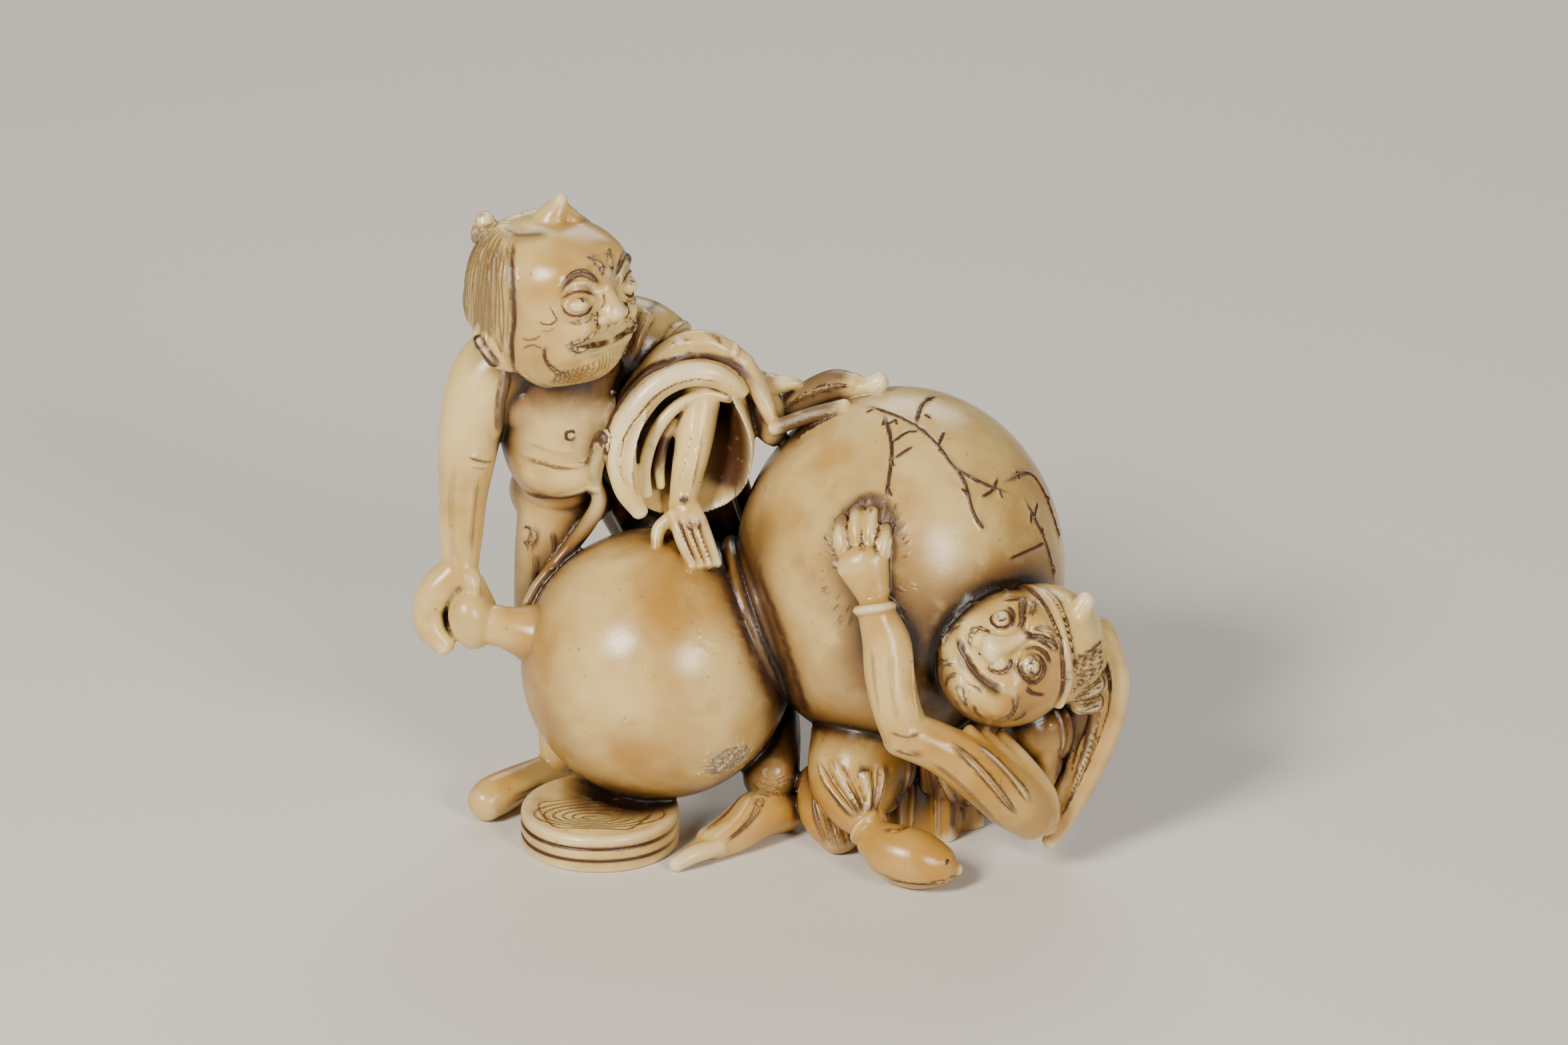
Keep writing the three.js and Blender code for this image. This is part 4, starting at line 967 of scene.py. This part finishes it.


# The last column is the strength of the painted shade and stain.
BROAD_STAIN_AND_SHADE = [  # points, half-width, stain
    # Painted shade mixed with stain: inside both sleeves, under the chin, beside the chest, below the
    # belly, by the feet and between parts.
    ([[-2.2, 7.2, 27.0], [-2.4, 6.5, 25.0], [-2.6, 6.0, 22.9], [-3.2, 5.4, 21.2]], 3.0, 0.95),
    ([[-6.7, 5.0, 25.4], [-6.6, 6.1, 22.6]], 1.6, 0.9),
    ([[-15.0, 3.9, 27.5], [-13.5, 3.8, 28.3], [-11.2, 4.1, 27.6]], 2.0, 0.45),
    ([[-10.6, 4.0, 26.0], [-10.6, 4.0, 23.5], [-11.5, 4.2, 22.4]], 1.3, 0.5),
    ([[-14.6, 6.0, 18.5], [-14.8, 6.0, 15.5], [-14.9, 6.5, 13.0]], 2.0, 0.45),
    ([[-14.0, 6.4, 2.4], [-15.8, 4.6, 2.4], [-17.0, 3.2, 2.4]], 1.0, 0.45),
    ([[-9.8, 7.5, 31.2], [-8.0, 8.0, 30.6]], 1.7, 0.4),
    ([[0.4, -0.6, 4.2], [-1.5, -1.2, 3.2], [-3.0, -3.0, 2.0]], 1.3, 0.35),
    ([[17.5, -4.6, 8.0], [18.2, -4.4, 5.6]], 1.2, 0.5),
    # On the lobes these rows paint shade: round the crouching demon's head and arm, where the lobes meet
    # the waist, and on their undersides.
    ([on_lobe(-64, 34), on_lobe(-62, 12), on_lobe(-52, -10), on_lobe(-46, -30)], 2.8, 0.5),
    ([on_lobe(28, -6), on_lobe(36, 4), on_lobe(52, 8)], 1.8, 0.4),
    ([on_lobe(-8, -8), on_lobe(-2, -26), on_lobe(20, -38)], 2.0, 0.4),
    ([on_small_lobe(50, 44), on_small_lobe(60, 10), on_small_lobe(56, -20)], 2.0, 0.4),
    ([on_small_lobe(-60, 10), on_small_lobe(-40, -30), on_small_lobe(0, -52)], 2.4, 0.3),
]
for path, width, stain_and_shade in BROAD_STAIN_AND_SHADE:
    line(path, width, 0, stain_and_shade, reach=0.9)
# Painted shade mixed with stain in the eye sockets, beside the nose, under the chin and between the
# brows, and stain along the crown's edge.
face("A", [
    ([[45, 16], [38, 25], [24, 26], [14, 17]], 0.6, 0, 0.35),
    ([[46, 10], [36, 4], [22, 6]], 0.5, 0, 0.3),
    ([[14, 0], [24, -12], [40, -14]], 0.6, 0, 0.4),
    ([[64, -50], [34, -57], [0, -54]], 1.1, 0, 0.55),
    ([[124, 50], [102, 56], [82, 62], [50, 70]], 1.0, 0, 0.5),
    ([[10, 44], [4, 34], [3, 22]], 0.8, 0, 0.4),
], other_side=True)
# Painted shade mixed with stain in the eye sockets, the mouth and on the sides of the face and head.
face("B", [
    ([[36, 22], [24, 29], [12, 22]], 0.6, 0, 0.45),
    ([[-10, 20], [-26, 31], [-44, 24]], 0.6, 0, 0.45),
    ([[-44, 14], [-32, 6], [-14, 10]], 0.5, 0, 0.45),
    ([[-8, -21], [-22, -18], [-32, -10]], 0.7, 0, 0.8),
    ([[32, -14], [18, -21], [0, -23]], 0.5, 0, 0.5),
    ([[60, 40], [70, 10], [66, -20], [50, -44]], 1.3, 0, 0.5),
    ([[-60, 6], [-64, -16], [-52, -40]], 0.9, 0, 0.4),
    ([[84, 60], [110, 30], [120, 0]], 1.6, 0, 0.4),
])
print("lines with broad stain:", len(lines))

# %% [markdown]
# ### Lines on the gourd
#
# A thorny branch is cut over the big lobe, short hatching darkens the skin round the hand, and an oval
# patch on the small lobe is worn to pits. Branch and twigs are marks of turn and lift on the lobe. The
# hatching and the pits are small random strokes, always the same ones, because the draw has a seed.

# %% Lines on the gourd
def on_gourd(marks, width, depth, stain_and_shade):
    """A line over the big lobe. Its short reach keeps it off the hand and head that lie on the lobe."""
    line([on_lobe(*mark) for mark in marks], width, depth, stain_and_shade, reach=0.35)


BRANCHES = [
    [[-70, 77], [-31, 78], [14, 71], [26, 61], [30, 52], [42, 44], [55, 37]],
    [[-31, 78], [-8, 63], [-7, 51], [-8, 42]], [[14, 71], [54, 81], [108, 77]],
    [[30, 52], [32, 46], [31, 37], [33, 30]], [[52, 42], [79, 37], [79, 22], [78, 13]],
    [[61, 34], [63, 24], [65, 16], [67, 4]],
]
TWIGS = [
    [[-15, 72], [-6, 74]], [[-8, 63], [4, 68], [16, 68]], [[37, 40], [45, 41], [52, 44]],
    [[41, 19], [52, 19], [65, 18]], [[-5, 57], [8, 62]], [[26, 61], [38, 66]], [[62, 27], [70, 30]],
]
for marks in BRANCHES:
    on_gourd(marks, 0.15, 0.14, 1.0)
    for (a, b), (c, d) in zip(marks[:-1], marks[1:]):
        thorn = [(a + c) / 2, (b + d) / 2]
        on_gourd([thorn, [thorn[0] + chance.uniform(-4, 4), thorn[1] + chance.choice([-3, 3])]],
                 0.13, 0.12, 1.0)
for marks in TWIGS:
    on_gourd(marks, 0.13, 0.12, 1.0)
on_gourd([[-26, 28], [-22, 38], [-13, 42], [-5, 36], [-3, 27]], 0.9, 0.08, 0.8)
HAND_SPOT, HAND_REACH = np.array([-13, 21]), np.array([11.5, 14.5])
for k in range(110):
    a = chance.uniform(0, 2 * math.pi)
    outward = np.array([math.cos(a), math.sin(a)])
    spot = HAND_SPOT + HAND_REACH * (outward * chance.uniform(0.9, 1.5))
    on_gourd([spot, spot + [3.0, 3.5] * outward], 0.1, 0.05, chance.uniform(0.3, 0.8))
for k in range(46):
    turn, lift = chance.uniform(20, 58), chance.uniform(25, 62)
    lean = chance.uniform(2, 5)
    line([on_small_lobe(turn, lift), on_small_lobe(turn + lean, lift - 0.4 * lean)], 0.08, 0.03,
         chance.uniform(0.1, 0.4), reach=0.5)
PATCH, PATCH_HALF = np.array([-2.6, -2.9, 6.6]), [1.7, 1.7, 1.25]
for k in range(90):
    turn, lift = 36.5 + 9 * chance.normal(), -27 + 5 * chance.normal()
    line([on_small_lobe(turn, lift), on_small_lobe(turn + 1, lift + 0.5)], chance.uniform(0.14, 0.24),
         chance.uniform(0.04, 0.1), 0, reach=0.6)
print("engraved lines:", len(lines))

# %% [markdown]
# ## Finished piece, its stain and painted shade
#
# The burin works on the dense skin. Then the skin is thinned where it is smooth and kept fine where
# it is carved, and moved into metres and into the imported part's place. Stain, wear and painted shade
# are measured on it: how hollow the carving is around a point, near and wide, and how much the lines
# darken it.

# %% The finished piece
PIECE_TRIANGLES = 196000
FINE_SHARE = 0.12       # points with more of a fine line than this keep their triangles
GROUP_WEIGHT = 0.0002   # influence of the group of calm points on the thinning


def mesh_object(name, points, faces):
    """A smooth-shaded object at the origin from points and faces."""
    mesh = bpy.data.meshes.new(name)
    mesh.from_pydata(points, [], faces.tolist())
    made = bpy.data.objects.new(name, mesh)
    bpy.context.scene.collection.objects.link(made)
    mesh.shade_smooth()
    return made


def read(mesh, name):
    """The points or normals of a mesh as rows."""
    flat = np.empty(len(mesh.vertices) * 3, np.float32)
    mesh.vertices.foreach_get(name, flat)
    return flat.reshape(-1, 3).astype(float)


rough = mesh_object("netsuke", points, quads)
normals = read(rough.data, "normal")
sink, _, fine = engrave(points, normals)
sunk = points - normals * sink[:, None]
sunk[:, 2] = np.maximum(sunk[:, 2], points[:, 2].min())
bpy.data.objects.remove(rough)
node_low = np.array(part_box(NODE)[0]) * 1000
piece = mesh_object("netsuke", sunk, quads)
thin = piece.modifiers.new("thin", "DECIMATE")
thin.ratio = PIECE_TRIANGLES / (2 * len(quads))
thin.use_collapse_triangulate = True
calm = piece.vertex_groups.new(name="calm")
calm.add(np.flatnonzero(fine < FINE_SHARE).tolist(), 1.0, "REPLACE")
print("points beside fine lines:", int((fine >= FINE_SHARE).sum()))
thin.vertex_group = calm.name
thin.vertex_group_factor = GROUP_WEIGHT
final = bpy.data.meshes.new_from_object(piece.evaluated_get(bpy.context.evaluated_depsgraph_get()))
piece.modifiers.clear()
piece.data = final
spots, facing = read(final, "co"), read(final, "normal")
final.vertices.foreach_set("co", ((spots + node_low - DESIGN_LOW) * 0.001).ravel().astype(np.float32))
final.update()
print("finished piece:", len(final.vertices), "points", len(final.polygons), "faces")
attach(piece, "root")
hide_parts(NODE)

# %% [markdown]
# ### Where stain and wear lie
#
# A rag reaches the high places and misses the hollows. To find them, the block of distances is blurred
# over a small and a large cube: just under the skin the mean is low inside a crease, where there is
# carving all round, and high on an edge. The small cube finds creases that hold stain. The large cube
# finds wide recesses, where the ivory paints shade mixed with stain. The values ride on the mesh as
# attributes, which stay with the surface, and the ivory reads them.

# %% Marks on the finished piece
EVERY = 2          # each second cell is enough for the blur
NEAR_BLUR = 2      # of those cells on each side
WIDE_BLUR = 10
INSET = 0.1        # millimetres under the skin at which the blur is read
SUNK_SLACK = 0.4   # millimetres that cut skin may have moved away from its line


def averaged(block, reach):
    """A block averaged over a cube of 2 * reach + 1 cells a side, twice over."""
    for axis in (0, 1, 2, 0, 1, 2):
        pad = [(0, 0)] * 3
        pad[axis] = (reach + 1, reach)
        total = np.cumsum(np.pad(block, pad, mode="edge"), axis=axis, dtype=np.float64)
        first = np.take(total, range(block.shape[axis]), axis=axis)
        last = np.take(total, range(2 * reach + 1, total.shape[axis]), axis=axis)
        block = ((last - first) / (2 * reach + 1)).astype(np.float32)
    return block


def sampled(block, at, cell):
    """A block's value at points in millimetres, mixed from the eight cells around each."""
    place = at / cell - np.asarray(BLOCK_START) * CELL / cell
    corner = np.clip(np.floor(place).astype(int), 0, np.array(block.shape) - 2)
    share = place - corner
    total = np.zeros(len(at))
    for move in np.ndindex(2, 2, 2):
        weight = np.prod(np.where(move, share, 1 - share), axis=1)
        x, y, z = (corner + move).T
        total += weight * block[x, y, z]
    return total


coarse = np.clip(carving[::EVERY, ::EVERY, ::EVERY] / (BAND * CELL), -1, 1)
inset = spots - INSET * facing
MARKS = {
    "hollow": sampled(averaged(coarse, NEAR_BLUR), inset, EVERY * CELL),
    # The wide blur marks recesses, which the ivory darkens as painted shade mixed with stain.
    "deep": sampled(averaged(coarse, WIDE_BLUR), inset, EVERY * CELL),
    # Darkening from the lines: stain in the cuts, painted shade from the broad lines without a cut, and
    # pale where a ridge is wiped.
    "cut": engrave(spots, facing, SUNK_SLACK)[1],
    "patch": np.exp(-(np.linalg.norm((spots - PATCH) / PATCH_HALF, axis=1)) ** 4),
}
for name, values in MARKS.items():
    final.attributes.new(name, "FLOAT", "POINT").data.foreach_set("value", values.astype(np.float32))
    print(name, np.round(np.percentile(values, [1, 10, 50, 90, 99]), 2))

# %% [markdown]
# ## Ivory
#
# Ivory is dense, fine-grained dentine, polished until it gleams. Light goes a little way in and comes
# back warm. It is cream where it was handled and honey where it was not, the high places are worn
# pale, and brown stain sits in the hollows and in every cut. Shade is painted into the colour too: wide
# recesses turn brown and the deepest holes near black, mixed with the stain. The colour also turns more
# honey towards the bottom.

# %% The ivory's nodes: one helper
def linear(code):
    """An sRGB hex colour as linear values for the shader."""
    s = np.array([int(code[i:i + 2], 16) for i in (1, 3, 5)]) / 255
    return (*np.where(s <= 0.04045, s / 12.92, ((s + 0.055) / 1.055) ** 2.4), 1.0)


ivory = bpy.data.materials.new("polished_ivory_with_stain_and_painted_shade")
ivory.use_nodes = True
tree = ivory.node_tree


def add(kind, settings=None, gives=0, **inputs):
    """Adds a shader node and returns one of its outputs. Each input is a value, or the socket that
    feeds it. An input's name has _ for each space, and one that starts with _ is its number."""
    made = tree.nodes.new(kind)
    for name, value in (settings or {}).items():
        setattr(made, name, value)
    for name, value in inputs.items():
        socket = made.inputs[int(name[1:])] if name[0] == "_" else made.inputs[name.replace("_", " ")]
        if isinstance(value, bpy.types.NodeSocket):
            tree.links.new(value, socket)
        else:
            socket.default_value = value
    return made.outputs[gives]


# %% What the ivory reads: places, grain and marks
place = add("ShaderNodeTexCoord", gives="Object")
height = add("ShaderNodeSeparateXYZ", gives="Z", Vector=place)
GRAIN = {  # size of a patch in millimetres, detail, roughness
    "honey": (9.0, 3.0, 0.55),     # drifts of age colour, as wide as a lobe's flank
    "cloud": (3.0, 5.0, 0.55),     # smaller clouds inside them
    # The smear noise breaks up both the stain and the painted shade round the hollows.
    "smear": (2.0, 5.0, 0.55),     # uneven stain round the hollows
    "crumb": (0.8, 4.0, 0.55),     # stain that has fallen out of a cut here and there
    "speck": (0.45, 2.0, 0.55),    # dirt in the pores, drawn far coarser than real pores to show
    "pit": (0.35, 6.0, 0.8),       # broken edge of the worn patch
    "chalk": (0.25, 4.0, 0.55),    # pale and grey crumbs inside it
    "polish": (0.18, 5.0, 0.7),    # rubbing marks, also coarser than real ones to show
    "scrape": (1.2, 3.0, 0.55),    # soft dips that the scraper left
}
grain = {name: add("ShaderNodeTexNoise", gives="Fac", Vector=place, Scale=1000 / size, Detail=detail,
                   Roughness=rough) for name, (size, detail, rough) in GRAIN.items()}
mark = {name: add("ShaderNodeAttribute", {"attribute_name": name}, gives="Fac") for name in MARKS}
print("grain, mm:", {name: size for name, (size, _, _) in GRAIN.items()})

# %% Where each colour lies
SMOOTH = {"interpolation_type": "SMOOTHSTEP"}
PRODUCT = {"operation": "MULTIPLY", "use_clamp": True}
SUM = {"operation": "ADD", "use_clamp": True}
RISES = {  # what is read, where the rise starts, where it ends, its top
    "low down": (height, 0.034, 0.004, 0.14),
    "cloud": (grain["cloud"], 0.52, 0.75, 0.4),
    "high place": (mark["hollow"], 0.3, 0.62, 0.7),
    # Wide recesses: painted shade, mixed with stain.
    "recess": (mark["deep"], 0.3, -0.15, 1.0),
    "smear": (grain["smear"], 0.15, 0.5, 1.0),
    # The lines' darkening: stain in cuts, and painted shade from the broad lines.
    "crease": (mark["hollow"], 0.06, -0.35, 1.0),
    "cut": (mark["cut"], 0.1, 0.9, 1.0),
    "crumb": (grain["crumb"], 0.05, 0.42, 1.0),
    # Deep, narrow holes: painted shadow, mixed with stain.
    "deepest": (mark["deep"], 0.16, -0.24, 1.0),
    "narrowest": (mark["hollow"], 0.34, -0.02, 1.0),
    "wiped ridge": (mark["cut"], -0.1, -0.7, 0.6),
    "speck": (grain["speck"], 0.68, 0.75, 0.5),
    "patch": (mark["patch"], 0.15, 0.6, 1.0),
    "pit": (grain["pit"], 0.3, 0.6, 1.0),
    "chalk": (grain["chalk"], 0.5, 0.62, 1.0),
}
rise = {name: add("ShaderNodeMapRange", SMOOTH, Value=source, From_Min=start, From_Max=end, To_Max=top)
        for name, (source, start, end, top) in RISES.items()}
# Honey tone from its drifts, and more of it towards the bottom of the carving.
honey_drift_and_lower_down = add("ShaderNodeMath", SUM, _0=grain["honey"], _1=rise["low down"])
honey = add("ShaderNodeMapRange", SMOOTH, Value=honey_drift_and_lower_down, From_Min=0.38, From_Max=0.8, To_Max=1.0)
# Painted shade in the wide recesses, broken up like smeared stain.
recess_shade_and_stain = add("ShaderNodeMath", PRODUCT, _0=rise["recess"], _1=rise["smear"])
recess_shade_and_stain = add("ShaderNodeMath", PRODUCT, _0=recess_shade_and_stain, _1=0.9)
# Stain in creases and cut lines, with the painted shade of the broad lines.
crease_stain_and_shade = add("ShaderNodeMath", SUM, _0=rise["crease"], _1=rise["cut"])
crease_stain_and_shade = add("ShaderNodeMath", PRODUCT, _0=crease_stain_and_shade, _1=rise["crumb"])
# Near-black painted shadow in deep, narrow holes, mixed with stain.
deepest_shade_and_stain = add("ShaderNodeMath", PRODUCT, _0=rise["deepest"], _1=rise["narrowest"])
bare = add("ShaderNodeMath", PRODUCT, _0=rise["patch"], _1=rise["pit"])
print("places that take a colour:", *rise)

# %% Coats of colour, gloss and relief
COLOURS = {"data_type": "RGBA"}
chalky = add("ShaderNodeMix", COLOURS, gives=2, _0=rise["chalk"], _6=linear("#6C635A"),
             _7=linear("#CFC6B4"))
COATS = [  # share, colour, each laid over the one before
    (honey, linear("#AE8236")),
    (rise["cloud"], linear("#96682A")),
    (rise["high place"], linear("#F0E2BC")),
    # Brown painted shade and stain in recesses, dark stain and painted shade from creases and lines,
    # near-black painted shadow in the deepest holes.
    (recess_shade_and_stain, linear("#6E441A")),
    (crease_stain_and_shade, linear("#45260E")),
    (deepest_shade_and_stain, linear("#1B0E07")),
    (rise["wiped ridge"], linear("#EFE3C4")),
    (rise["speck"], linear("#7A5128")),
    (bare, chalky),
]
tone = linear("#E2C986")  # clean cream ivory
for share, colour in COATS:
    tone = add("ShaderNodeMix", COLOURS, gives=2, _0=share, _6=tone, _7=colour)
# Stained places and places with painted shade are a little duller.
dull_stain_and_shade = add("ShaderNodeMath", PRODUCT, _0=crease_stain_and_shade, _1=0.2)
dull_patch = add("ShaderNodeMath", PRODUCT, _0=bare, _1=0.4)
dull = add("ShaderNodeMath", SUM, _0=dull_stain_and_shade, _1=dull_patch)
gloss = add("ShaderNodeMath", SUM, _0=dull, _1=0.24)
rubbed = add("ShaderNodeBump", Strength=0.25, Distance=0.00004, Height=grain["polish"])
scraped = add("ShaderNodeBump", Strength=0.2, Distance=0.00006, Height=grain["scrape"], Normal=rubbed)
shader = tree.nodes["Principled BSDF"]
shader.inputs["Subsurface Weight"].default_value = 0.12
shader.inputs["Subsurface Radius"].default_value = (1.0, 0.55, 0.28)
shader.inputs["Subsurface Scale"].default_value = 0.0012
shader.inputs["IOR"].default_value = 1.54
tree.links.new(tone, shader.inputs["Base Color"])
tree.links.new(gloss, shader.inputs["Roughness"])
tree.links.new(scraped, shader.inputs["Normal"])
piece.data.materials.clear()
piece.data.materials.append(ivory)
print("ivory:", len(tree.nodes), "nodes,", len(COATS), "coats of colour")

# %% [markdown]
# ## Floor, light and camera
#
# A polished carving shows by its highlights, so the lights are small and soft: a key from the left, a
# fill from the right and a rim light from behind, over a pale sheet of paper. A long lens about 40 cm
# away looks a little down, and keeps a thing of 45 mm free of distortion.

# %% The floor
bpy.ops.mesh.primitive_plane_add(size=3)
floor = bpy.context.object
floor.name = "floor"
paper = bpy.data.materials.new("pale_paper")
paper.use_nodes = True
matt = paper.node_tree.nodes["Principled BSDF"]
matt.inputs["Base Color"].default_value = linear("#D9D6D0")
matt.inputs["Roughness"].default_value = 0.7
floor.data.materials.append(paper)
print("floor:", round(floor.dimensions.x, 2), "m wide")

# %% The lights
MIDDLE = (0, 0, 0.018)


def aim(thing, spot):
    """Turns a light or camera at a spot."""
    thing.rotation_euler = (Vector(spot) - thing.location).to_track_quat("-Z", "Y").to_euler()


def soft_light(name, place, size, watts, code):
    """A rectangular lamp at a place in metres that looks at the middle of the carving."""
    lamp = bpy.data.lights.new(name, "AREA")
    lamp.shape = "RECTANGLE"
    lamp.size, lamp.size_y = size
    lamp.energy = watts
    lamp.color = linear(code)[:3]
    holder = bpy.data.objects.new(name, lamp)
    bpy.context.scene.collection.objects.link(holder)
    holder.location = place
    aim(holder, MIDDLE)


soft_light("key", (-0.24, -0.3, 0.3), (0.12, 0.12), 2.9, "#FFF6E8")
soft_light("fill", (0.22, -0.36, 0.2), (0.1, 0.14), 1.4, "#FFF7EA")
soft_light("rim", (0.05, 0.35, 0.3), (0.3, 0.2), 0.8, "#FFFFFF")
world = bpy.data.worlds.new("room")
world.use_nodes = True
room = world.node_tree.nodes["Background"]
room.inputs["Color"].default_value = linear("#D6D0C6")
room.inputs["Strength"].default_value = 0.17
bpy.context.scene.world = world
print("lights:", [light.name for light in bpy.data.lights])

# %% The camera
lens = bpy.data.cameras.new("long_lens")
lens.lens = 150
lens.sensor_width = 36
camera = bpy.data.objects.new("camera", lens)
bpy.context.scene.collection.objects.link(camera)
distance = 0.408
elevation = math.radians(23)
target = np.array([0.00095, 0.0, 0.0204])
camera.location = target + distance * np.array([0, -math.cos(elevation), math.sin(elevation)])
aim(camera, target)
bpy.context.scene.camera = camera
print("camera at, m:", [round(x, 3) for x in camera.location])
